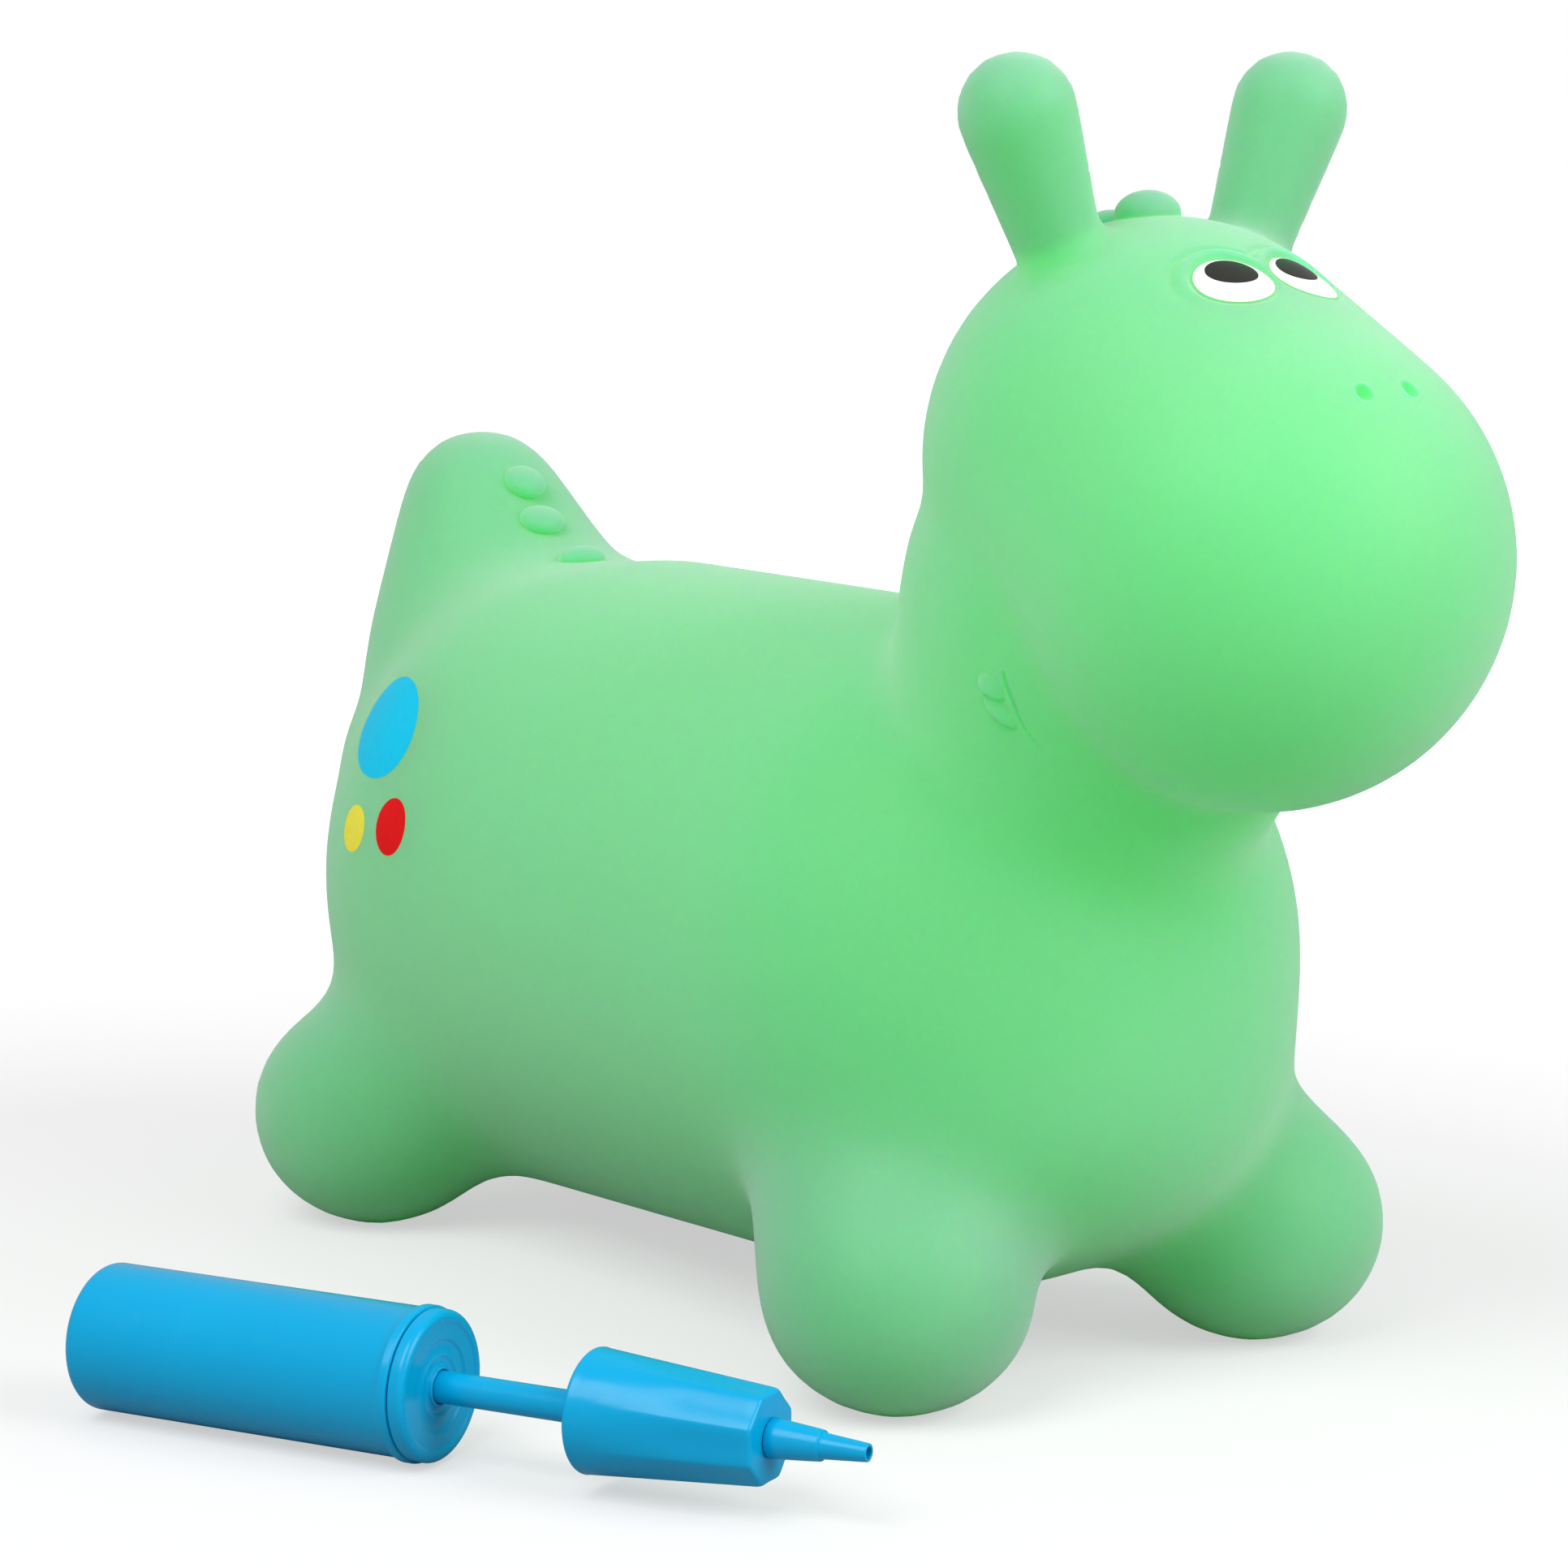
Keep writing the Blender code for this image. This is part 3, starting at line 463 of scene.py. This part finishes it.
eyes = {"yaw": 16.3, "pitch": 48.3, "halfWidth": 0.0136, "halfHeight": 0.0123,
        "pupilRise": 0.0037, "pupilHalfWidth": 0.0090, "pupilHalfHeight": 0.0071,
        "bulge": 0.0010, "grooveDepth": 0.0007, "grooveWidth": 0.0016,
        "browHeight": 0.0019, "browOut": 0.0034, "browWidth": 0.0034, "browAngle": 75, "browSpan": 130,
        "dipDepth": 0.0010, "dipOut": 0.0072, "dipWidth": 0.0024,
        "reach": 0.030, "fineReaches": (0.031, 0.0235, 0.0175)}


def eyeRelief(side):
    def height(x, y):
        across, up = x / eyes["halfWidth"], y / eyes["halfHeight"]
        far = math.hypot(across, up)
        out = (far - 1) * (eyes["halfWidth"] + eyes["halfHeight"]) / 2
        angle = math.atan2(up, across * side)  # 0 at the outer corner, 90 degrees at the top
        browShare = ridge(angle - math.radians(eyes["browAngle"]), math.radians(eyes["browSpan"]))
        rise = eyes["bulge"] * max(0, 1 - far * far)
        rise -= eyes["grooveDepth"] * ridge(out - eyes["grooveWidth"] / 2, eyes["grooveWidth"])
        rise += eyes["browHeight"] * browShare * ridge(out - eyes["browOut"], eyes["browWidth"])
        rise -= eyes["dipDepth"] * browShare * ridge(out - eyes["dipOut"], eyes["dipWidth"])
        return rise
    return height


eyeSeats = {side: seatOn(plain, skull, side * eyes["yaw"], eyes["pitch"]) for side in (-1, 1)}
eyesMiddle = (eyeSeats[-1].translation + eyeSeats[1].translation) / 2
refine(skin, [eyesMiddle] + [seat.translation for seat in eyeSeats.values()], *eyes["fineReaches"])
for side in (-1, 1):
    lift(skin, eyeSeats[side], eyes["reach"], eyeRelief(side), side)

nostrils = {"yaw": 5.3, "pitch": 14.5, "radius": 0.0029, "depth": 0.0034, "tallness": 0.85, "steepness": 0.7,
            "rim": 0.00025, "rimAt": 1.25, "rimWidth": 0.3,
            "reach": 0.007, "fineReaches": (0.012, 0.0075, 0.0055, 0.0040)}
nostrilSeats = {side: seatOn(plain, skull, side * nostrils["yaw"], nostrils["pitch"]) for side in (-1, 1)}
refine(skin, [seat.translation for seat in nostrilSeats.values()], *nostrils["fineReaches"])


def nostrilDip(x, y):
    far = math.hypot(x, y * nostrils["tallness"]) / nostrils["radius"]
    if far < 1:
        return -nostrils["depth"] * (1 - far * far) ** nostrils["steepness"]
    return nostrils["rim"] * ridge(far - nostrils["rimAt"], nostrils["rimWidth"])


for side in (-1, 1):
    lift(skin, nostrilSeats[side], nostrils["reach"], nostrilDip)

knobs = {
    "crest": [
        {"pitch": 84, "radii": (0.0122, 0.0100, 0.0082), "raised": 0.0006},
        {"pitch": 69, "radii": (0.0090, 0.0075, 0.0060), "raised": 0.0004}],
    "tail": [
        {"from": (0, 0.2102, 0.2443), "pitch": 68, "radii": (0.0086, 0.0090, 0.0052), "raised": 0.0006, "tilt": -22},
        {"from": (0, 0.2102, 0.2443), "pitch": 44, "radii": (0.0094, 0.0084, 0.0050), "raised": 0.0006, "tilt": -22},
        {"from": (0, 0.152, 0.220), "pitch": 89, "radii": (0.0098, 0.0075, 0.0050), "raised": 0.0006, "tilt": -10}],
    "crestReach": 0.0135, "tailReach": 0.0115, "wider": 0.003, "widest": 0.007, "soft": 0.035}
backwards = Vector((0, 1, 0))
crestSeats = [seatOn(plain, skull, 180, one["pitch"], backwards) for one in knobs["crest"]]
tailSeats = [seatOn(plain, Vector(one["from"]), 0, one["pitch"], backwards)
             @ Matrix.Rotation(math.radians(one["tilt"]), 4, "X") for one in knobs["tail"]]
for seats, reach in ((crestSeats, knobs["crestReach"]), (tailSeats, knobs["tailReach"])):
    refine(skin, [seat.translation for seat in seats], reach + knobs["widest"], reach + knobs["wider"], reach)
for seat, one in list(zip(crestSeats, knobs["crest"])) + list(zip(tailSeats, knobs["tail"])):
    knob(skin, seat, one["radii"], one["raised"], knobs["soft"])

# Two moulded leaves on each cheek, and the crease where the jaw meets the neck
leaves = [
    {"yaw": 87.5, "pitch": -43.8, "halfLength": 0.0056, "halfWidth": 0.0036, "height": 0.0025, "turn": -38},
    {"yaw": 86.4, "pitch": -48.0, "halfLength": 0.0070, "halfWidth": 0.0031, "height": 0.0025, "turn": -44}]
leafForm = {"reach": 0.011, "taper": 0.25, "steepness": 0.6, "middle": 0.75, "slope": 0.45,
            "groove": 0.00022, "grooveAt": 1.1, "grooveWidth": 0.22, "fineReaches": (0.013, 0.0095, 0.0070)}
crease = {  # the path is (yaw, pitch, share of the depth)
    "path": [(82.9, -41.3, 0.3), (82.8, -43.7, 1.0), (82.2, -45.7, 1.0), (81.3, -48.0, 0.9), (80.2, -50.9, 0.6),
             (78.3, -53.3, 0.4), (76.8, -55.2, 0.1)],
    "width": 0.0008, "depth": 0.0020, "fineReach": 0.0024}


def leafRise(leaf, side):
    turned = math.radians(leaf["turn"])

    def height(x, y):
        x = -side * x  # forwards on both sides
        along = (x * math.cos(turned) + y * math.sin(turned)) / leaf["halfLength"]
        across = (y * math.cos(turned) - x * math.sin(turned)) / leaf["halfWidth"]
        far = math.hypot(along, across * (1 + leafForm["taper"] * along))
        if far < 1:
            slope = leafForm["middle"] - leafForm["slope"] * across
            return leaf["height"] * (1 - far * far) ** leafForm["steepness"] * slope
        return -leafForm["groove"] * ridge(far - leafForm["grooveAt"], leafForm["grooveWidth"])
    return height


for side in (-1, 1):
    leafSeats = [seatOn(plain, skull, side * leaf["yaw"], leaf["pitch"]) for leaf in leaves]
    path = [(seatOn(plain, skull, side * yaw, pitch).translation, share) for yaw, pitch, share in crease["path"]]
    onPath = [point for point, share in path] + [(low[0] + high[0]) / 2 for low, high in zip(path, path[1:])]
    refine(skin, [seat.translation for seat in leafSeats] + onPath, *leafForm["fineReaches"])
    refine(skin, onPath, crease["fineReach"])
    for leaf, seat in zip(leaves, leafSeats):
        lift(skin, seat, leafForm["reach"], leafRise(leaf, side))
    press(skin, path, leafSeats[1].to_3x3().col[2], crease["width"], crease["depth"])
print("moulded details pushed out:", sum(len(face.vertices) - 2 for face in skin.data.polygons), "triangles")

# The feet stand flat on the floor
openMesh(skin)
bpy.ops.mesh.bisect(plane_co=(0, 0, 0), plane_no=(0, 0, -1), use_fill=True, clear_outer=True)
closeMesh()

# The air valve's hole in the middle of the belly
valve = {"x": 0.0, "y": 0.0, "bore": 0.0041, "belly": 0.0145, "depth": 0.0150}
bpy.ops.object.select_all(action="DESELECT")
bpy.ops.mesh.primitive_cylinder_add(vertices=48, radius=valve["bore"], depth=2 * valve["depth"],
                                    location=(valve["x"], valve["y"], valve["belly"]))
hole = bpy.context.object
finishWith(skin, "BOOLEAN", operation="DIFFERENCE", object=hole, solver="EXACT")
pick(hole)
bpy.ops.object.delete()
skin.location = (animal["x"], animal["y"], 0)
keepPlace(skin)
smooth(skin, 60)
animalPlace = Matrix.Translation((animal["x"], animal["y"], 0))


# Painted ovals

films = {"sides": 96, "thickness": 0.00015, "lifted": 0.0001, "pupilLifted": 0.0003,
         "eyeAway": 0.012, "eyeRows": 24, "spotAway": 0.045, "spotRows": 12}


def paintOval(name, place, halfWidth, halfLength, lifted, finish, node, away, rows):
    # a flat oval starts that far away and is dropped onto the skin
    bpy.ops.object.select_all(action="DESELECT")
    bpy.ops.mesh.primitive_circle_add(vertices=films["sides"], radius=1)
    oval = bpy.context.object
    oval.name = name
    openMesh(oval)
    for row in range(rows, 0, -1):  # ring after ring to the middle
        share = (row - 1) / row if row > 1 else 0
        if share:
            bpy.ops.mesh.extrude_region_move()
            bpy.ops.transform.resize(value=(share, share, 1), center_override=(0, 0, 0))
        else:
            bpy.ops.mesh.edge_face_add()
            bpy.ops.mesh.poke()
    bpy.ops.mesh.select_all(action="SELECT")
    bpy.ops.transform.resize(value=(halfWidth, halfLength, 1), center_override=(0, 0, 0))
    bpy.ops.mesh.normals_make_consistent(inside=False)
    closeMesh()
    oval.matrix_world = animalPlace @ place @ Matrix.Translation((0, 0, away))
    finishWith(oval, "SHRINKWRAP", target=skin, wrap_method="PROJECT", use_project_z=True,
               use_negative_direction=True, use_positive_direction=False, cull_face="BACK", offset=lifted)
    keepPlace(oval)
    finishWith(oval, "SOLIDIFY", thickness=films["thickness"], offset=1)
    smooth(oval, 50)
    wear(oval, finish, "animal", node)


spots = {
    "Blue": {"halfWidth": 0.0265, "halfLength": 0.0198, "yaw": 99.8, "pitch": 33.3, "tilt": 23},
    "Yellow": {"halfWidth": 0.0095, "halfLength": 0.0092, "yaw": 98.6, "pitch": 13.2, "tilt": 0},
    "Red": {"halfWidth": 0.0103, "halfLength": 0.0111, "yaw": 84.2, "pitch": 15.3, "tilt": 0}}
spotFinish = {"Blue": bluePaint, "Yellow": yellowPaint, "Red": redPaint}
for side, label in ((-1, "right"), (1, "left")):
    seat = eyeSeats[side]
    paintOval("eyeWhite." + label, seat, eyes["halfWidth"], eyes["halfHeight"], films["lifted"], whitePaint,
              "eye_white_" + label, films["eyeAway"], films["eyeRows"])
    paintOval("pupil." + label, seat @ Matrix.Translation((0, eyes["pupilRise"], 0)), eyes["pupilHalfWidth"],
              eyes["pupilHalfHeight"], films["pupilLifted"], blackPaint, "pupil_" + label,
              films["eyeAway"], films["eyeRows"])
    for colour, spot in spots.items():
        seat = seatOn(plain, rumpMiddle, side * spot["yaw"], spot["pitch"])
        seat = seat @ Matrix.Rotation(math.radians(side * spot["tilt"]), 4, "Z")
        paintOval("spot" + colour + "." + label, seat, spot["halfWidth"], spot["halfLength"], films["lifted"],
                  spotFinish[colour], "spot_" + colour.lower() + "_" + label,
                  films["spotAway"], films["spotRows"])
wear(skin, vinyl, "animal", "vinyl_skin")
print("eyes and spots painted")


# Turned pieces: rings of (radius, height) pulled up one after another

def turn(name, rings, place, segments=96, hollow=False):
    bpy.ops.object.select_all(action="DESELECT")
    first = rings[0]
    bpy.ops.mesh.primitive_circle_add(vertices=segments, radius=first[0], location=(0, 0, first[1]))
    piece = bpy.context.object
    piece.name = name
    keepPlace(piece)
    openMesh(piece)
    if not hollow:
        bpy.ops.mesh.edge_face_add()
        bpy.ops.mesh.select_all(action="SELECT")
        bpy.ops.mesh.select_mode(type="EDGE")
        bpy.ops.mesh.region_to_loop()
    for low, high in zip(rings, rings[1:] + ([first] if hollow else [])):
        bpy.ops.mesh.extrude_edges_move(TRANSFORM_OT_translate={"value": (0, 0, high[1] - low[1])})
        share = high[0] / low[0]
        bpy.ops.transform.resize(value=(share, share, 1), center_override=(0, 0, high[1]))
    if not hollow:
        bpy.ops.mesh.edge_face_add()
    bpy.ops.mesh.select_all(action="SELECT")
    bpy.ops.mesh.remove_doubles(threshold=0.00001)
    bpy.ops.mesh.normals_make_consistent(inside=False)
    bpy.ops.mesh.select_mode(type="VERT")
    closeMesh()
    piece.matrix_world = place
    keepPlace(piece)
    return piece


def roundEdge(radius, height, bend, start, steps):  # a quarter circle of rings
    return [(radius + bend * math.cos(math.radians(start + 90 * step / steps)),
             height + bend * math.sin(math.radians(start + 90 * step / steps))) for step in range(steps + 1)]


pump = {"end": (-0.3026, -0.0039), "heading": -64, "axisHeight": 0.0263}
pumpPlace = (Matrix.Translation((animal["x"] + pump["end"][0], animal["y"] + pump["end"][1], pump["axisHeight"]))
             @ Matrix.Rotation(math.radians(pump["heading"]), 4, "Z") @ Matrix.Rotation(math.pi / 2, 4, "Y"))

barrel = {"radius": 0.0252, "length": 0.1300, "wall": 0.0022, "endWall": 0.0030, "endRound": 0.0040,
          "flangeHeight": 0.0011, "flangeWidth": 0.0045, "flangeRound": 0.0008, "flangeRise": 0.0014,
          "flangeFall": 0.0010, "foot": 0.0002, "mouth": 0.0004, "lowRing": 0.02, "lastRing": 0.001}
inner = barrel["radius"] - barrel["wall"]
flange = barrel["radius"] + barrel["flangeHeight"]
flangeStart = barrel["length"] - barrel["flangeWidth"]
rings = roundEdge(barrel["radius"] - barrel["endRound"], barrel["endRound"], barrel["endRound"], -90, 8)
rings += [(barrel["radius"], barrel["lowRing"]), (barrel["radius"], flangeStart - barrel["lastRing"]),
          (barrel["radius"] + barrel["foot"], flangeStart)]
bend = barrel["flangeRound"]
rings += roundEdge(flange - bend, flangeStart + barrel["flangeRise"], bend, -45, 4)[:4]
rings += roundEdge(flange - bend, barrel["length"] - barrel["flangeFall"], bend, 0, 4)
rings += [(inner + barrel["mouth"], barrel["length"]), (inner, barrel["length"] - barrel["mouth"]),
          (inner, barrel["endWall"])]
pumpBarrel = turn("pumpBarrel", rings, pumpPlace)
smooth(pumpBarrel, 35)
wear(pumpBarrel, bluePlastic, "pump_barrel", "pump_barrel")

collar = {
    "start": 0.1303, "face": 0.1358, "radius": 0.0255, "edge": 0.0025, "soft": 0.0003,
    "spigot": 0.0227, "spigotWall": 0.0020, "spigotLength": 0.0070, "web": 0.0030, "bore": 0.0058,
    "step": 0.0007, "stepSoft": 0.0001,
    "rim": 0.0210, "rimRings": (0.0012, 0.0008, 0.0002, -0.0003),
    "ring": 0.0155, "ringRings": (0.0006, 0.0002, -0.0003, -0.0008),
    "bead": ((0.0112, 0), (0.0108, 0.0002), (0.0103, 0.0004), (0.0098, 0.0002), (0.0094, 0)),
    "boss": 0.0068, "bossHeight": 0.0014, "bossSoft": 0.0004, "bossFoot": 0.0001, "bossSpread": 0.0008}


def stepDown(radius, high, low, offsets):  # four rings that go down a softened step
    soft = collar["stepSoft"]
    return [(radius + offset, height) for offset, height in zip(offsets, (high, high - soft, low + soft, low))]


face = collar["face"]
middleFace = face - collar["step"]
lowFace = face - 2 * collar["step"]
web = lowFace - collar["web"]
bossTop = lowFace + collar["bossHeight"]
spigotEnd = collar["start"] - collar["spigotLength"]
rings = [(collar["bore"], web), (collar["spigot"] - collar["spigotWall"], web),
         (collar["spigot"] - collar["spigotWall"], spigotEnd), (collar["spigot"], spigotEnd),
         (collar["spigot"], collar["start"]), (collar["radius"] - collar["soft"], collar["start"]),
         (collar["radius"], collar["start"] + collar["soft"])]
rings += roundEdge(collar["radius"] - collar["edge"], face - collar["edge"], collar["edge"], 0, 8)
rings += stepDown(collar["rim"], face, middleFace, collar["rimRings"])
rings += stepDown(collar["ring"], middleFace, lowFace, collar["ringRings"])
rings += [(radius, lowFace + rise) for radius, rise in collar["bead"]]
rings += [(collar["boss"] + collar["bossSpread"], lowFace),
          (collar["boss"] + collar["bossFoot"], lowFace + collar["bossSoft"]),
          (collar["boss"], bossTop - collar["bossSoft"]), (collar["boss"] - collar["bossSoft"], bossTop),
          (collar["bore"] + collar["soft"], bossTop), (collar["bore"], bossTop - collar["soft"])]
pumpCollar = turn("pumpCollar", rings, pumpPlace, hollow=True)
smooth(pumpCollar, 40)
wear(pumpCollar, bluePlastic, "pump_barrel", "pump_collar")

rod = {"radius": 0.0054, "bore": 0.0028, "start": 0.0645, "end": 0.2256, "soft": 0.0004,
       "between": (0.10, 0.14, 0.19)}
rings = [(rod["bore"], rod["start"]), (rod["radius"] - rod["soft"], rod["start"]),
         (rod["radius"], rod["start"] + rod["soft"])]
rings += [(rod["radius"], height) for height in rod["between"]]
rings += [(rod["radius"], rod["end"] - rod["soft"]), (rod["radius"] - rod["soft"], rod["end"]),
          (rod["bore"], rod["end"])]
pumpRod = turn("pumpRod", rings, pumpPlace, 64, hollow=True)
smooth(pumpRod, 35)
wear(pumpRod, bluePlastic, "pump_rod", "pump_rod")

grip = {"start": 0.1928, "length": 0.0656, "wide": 0.0208, "narrow": 0.0158, "edge": 0.0015, "recess": 0.0050,
        "recessWall": 0.0030, "socket": 0.0057, "socketEnd": 0.2259, "nozzleSocket": 0.00455, "nozzleDepth": 0.0083,
        "bore": 0.0028, "soft": 0.0003, "rows": 30, "fluteDepth": 0.0011, "flutes": 8, "fadeStart": 0.12,
        "fadeLength": 0.5, "roundness": 0.6}
start, end = grip["start"], grip["start"] + grip["length"]
recessRadius = grip["wide"] - grip["recessWall"]
rings = [(grip["socket"], start + grip["recess"]), (recessRadius, start + grip["recess"]),
         (recessRadius, start + grip["soft"]), (recessRadius + grip["soft"], start)]
rings += roundEdge(grip["wide"] - grip["edge"], start + grip["edge"], grip["edge"], -90, 5)
for row in range(1, grip["rows"]):
    share = row / grip["rows"]
    rings.append((grip["wide"] + (grip["narrow"] - grip["wide"]) * share, start + grip["length"] * share))
rings += roundEdge(grip["narrow"] - grip["edge"], end - grip["edge"], grip["edge"], 0, 5)
rings += [(grip["nozzleSocket"], end), (grip["nozzleSocket"], end - grip["nozzleDepth"]),
          (grip["bore"], end - grip["nozzleDepth"]), (grip["bore"], grip["socketEnd"]),
          (grip["socket"], grip["socketEnd"])]
pumpGrip = turn("pumpGrip", rings, Matrix(), 160, hollow=True)
for vertex in pumpGrip.data.vertices:  # long flutes that fade out towards the wide end
    radius = math.hypot(vertex.co.x, vertex.co.y)
    share = (vertex.co.z - start) / grip["length"]
    if radius > grip["narrow"] - 2 * grip["edge"] and share > 0:
        angle = math.atan2(vertex.co.y, vertex.co.x)
        fade = min(1, max(0, (share - grip["fadeStart"]) / grip["fadeLength"]))
        depth = grip["fluteDepth"] * fade * ((1 + math.cos(grip["flutes"] * angle)) / 2) ** grip["roundness"]
        vertex.co.xy *= 1 - depth / radius
pumpGrip.matrix_world = pumpPlace
keepPlace(pumpGrip)
smooth(pumpGrip, 35)
wear(pumpGrip, bluePlastic, "pump_rod", "pump_grip")

nozzle = {
    "start": 0.2587, "base": 0.00665, "baseTop": 0.0051, "baseLength": 0.0183, "baseRound": 0.0006,
    "tip": 0.00425, "tipTop": 0.0030, "tipLength": 0.0161, "tipRound": 0.0004,
    "bore": 0.0020, "spigot": 0.0080, "rows": 5, "soft": 0.0002, "rise": 0.0003}


def taper(low, high, start, length):  # rings between the two ends of a cone
    rows = nozzle["rows"]
    return [(low + (high - low) * row / rows, start + length * row / rows) for row in range(1, rows)]


start = nozzle["start"]
baseEnd = start + nozzle["baseLength"]
end = baseEnd + nozzle["tipLength"]
baseRound, tipRound = nozzle["baseRound"], nozzle["tipRound"]
rings = [(nozzle["bore"], start - nozzle["spigot"]), (nozzle["tip"], start - nozzle["spigot"]),
         (nozzle["tip"], start), (nozzle["base"] - nozzle["soft"], start),
         (nozzle["base"], start + nozzle["rise"])]
rings += taper(nozzle["base"], nozzle["baseTop"], start, nozzle["baseLength"])
rings += roundEdge(nozzle["baseTop"] - baseRound, baseEnd - baseRound, baseRound, 0, 4)
rings += [(nozzle["tip"] + nozzle["soft"], baseEnd), (nozzle["tip"], baseEnd + nozzle["rise"])]
rings += taper(nozzle["tip"], nozzle["tipTop"], baseEnd, nozzle["tipLength"])
rings += roundEdge(nozzle["tipTop"] - tipRound, end - tipRound, tipRound, 0, 4)
rings += [(nozzle["bore"] + nozzle["soft"], end), (nozzle["bore"], end - nozzle["soft"])]
pumpNozzle = turn("pumpNozzle", rings, pumpPlace, 64, hollow=True)
smooth(pumpNozzle, 40)
wear(pumpNozzle, bluePlastic, "pump_rod", "pump_nozzle")
print("pump turned")


# Pieces that stay as the frame has them
for name, finish in (("pump_piston", bluePlastic), ("pump_piston_ring", blackRubber),
                     ("pump_check_flap", blackRubber), ("valve_plug", plugPlastic)):
    nodes[name].data.materials.clear()
    nodes[name].data.materials.append(finish)


# Plain pale floor, white surroundings and soft studio lamps

studio = {
    "world": 0.44, "floor": 0.38, "floorRoughness": 0.9, "floorSize": 14, "floorBack": 2,
    "glowNear": 0.56, "glowFar": 1.0, "near": 0.45, "far": 1.6,
    "key": 49, "keyPlace": (1.1, -2.2, 1.6), "fill": 54, "fillPlace": (-1.8, -0.6, 2.4),
    "lampSize": 1.8, "target": (0.1, 0.0, 0.2)}

bpy.ops.object.select_all(action="DESELECT")
bpy.ops.mesh.primitive_plane_add(size=studio["floorSize"], location=(0, studio["floorBack"], 0))
floor = bpy.context.object
floor.name = "floor"
floorPaint, floorTree, floorShader = newMaterial(
    "pale floor", (studio["floor"],) * 3, studio["floorRoughness"])
floorShader.inputs["Specular IOR Level"].default_value = 0
ray = addNode(floorTree, "ShaderNodeLightPath")
place = addNode(floorTree, "ShaderNodeTexCoord")
middle = addNode(floorTree, "ShaderNodeVectorMath", operation="DISTANCE")
middle.inputs[1].default_value = (0, -studio["floorBack"], 0)
floorTree.links.new(place.outputs["Object"], middle.inputs[0])
fade = addNode(floorTree, "ShaderNodeMapRange")  # the floor passes into the white surroundings
floorTree.links.new(middle.outputs["Value"], fade.inputs["Value"])
for socket, key in (("From Min", "near"), ("From Max", "far"), ("To Min", "glowNear"), ("To Max", "glowFar")):
    fade.inputs[socket].default_value = studio[key]
glow = addNode(floorTree, "ShaderNodeMath", operation="MULTIPLY")
floorTree.links.new(ray.outputs["Is Camera Ray"], glow.inputs[0])
floorTree.links.new(fade.outputs["Result"], glow.inputs[1])
floorShader.inputs["Emission Color"].default_value = (1, 1, 1, 1)
floorTree.links.new(glow.outputs[0], floorShader.inputs["Emission Strength"])
floor.data.materials.append(floorPaint)

world = bpy.data.worlds.new("studio")
bpy.context.scene.world = world
world.use_nodes = True
surround = world.node_tree
surround.nodes.clear()
result = addNode(surround, "ShaderNodeOutputWorld")
soft = addNode(surround, "ShaderNodeBackground", Color=(1, 1, 1, 1), Strength=studio["world"])
seen = addNode(surround, "ShaderNodeBackground", Color=(1, 1, 1, 1), Strength=1)
mix = addNode(surround, "ShaderNodeMixShader")
ray = addNode(surround, "ShaderNodeLightPath")
surround.links.new(ray.outputs["Is Camera Ray"], mix.inputs[0])
surround.links.new(soft.outputs[0], mix.inputs[1])
surround.links.new(seen.outputs[0], mix.inputs[2])
surround.links.new(mix.outputs[0], result.inputs["Surface"])


def softLamp(name, place, power):
    bpy.ops.object.light_add(type="AREA", location=place)
    lamp = bpy.context.object
    lamp.name = name
    lamp.rotation_euler = (Vector(studio["target"]) - Vector(place)).to_track_quat("-Z", "Y").to_euler()
    lamp.data.shape = "RECTANGLE"
    lamp.data.size = lamp.data.size_y = studio["lampSize"]
    lamp.data.energy = power


softLamp("key lamp", studio["keyPlace"], studio["key"])
softLamp("fill lamp", studio["fillPlace"], studio["fill"])
bpy.context.scene.view_settings.view_transform = "Standard"
print("studio set")
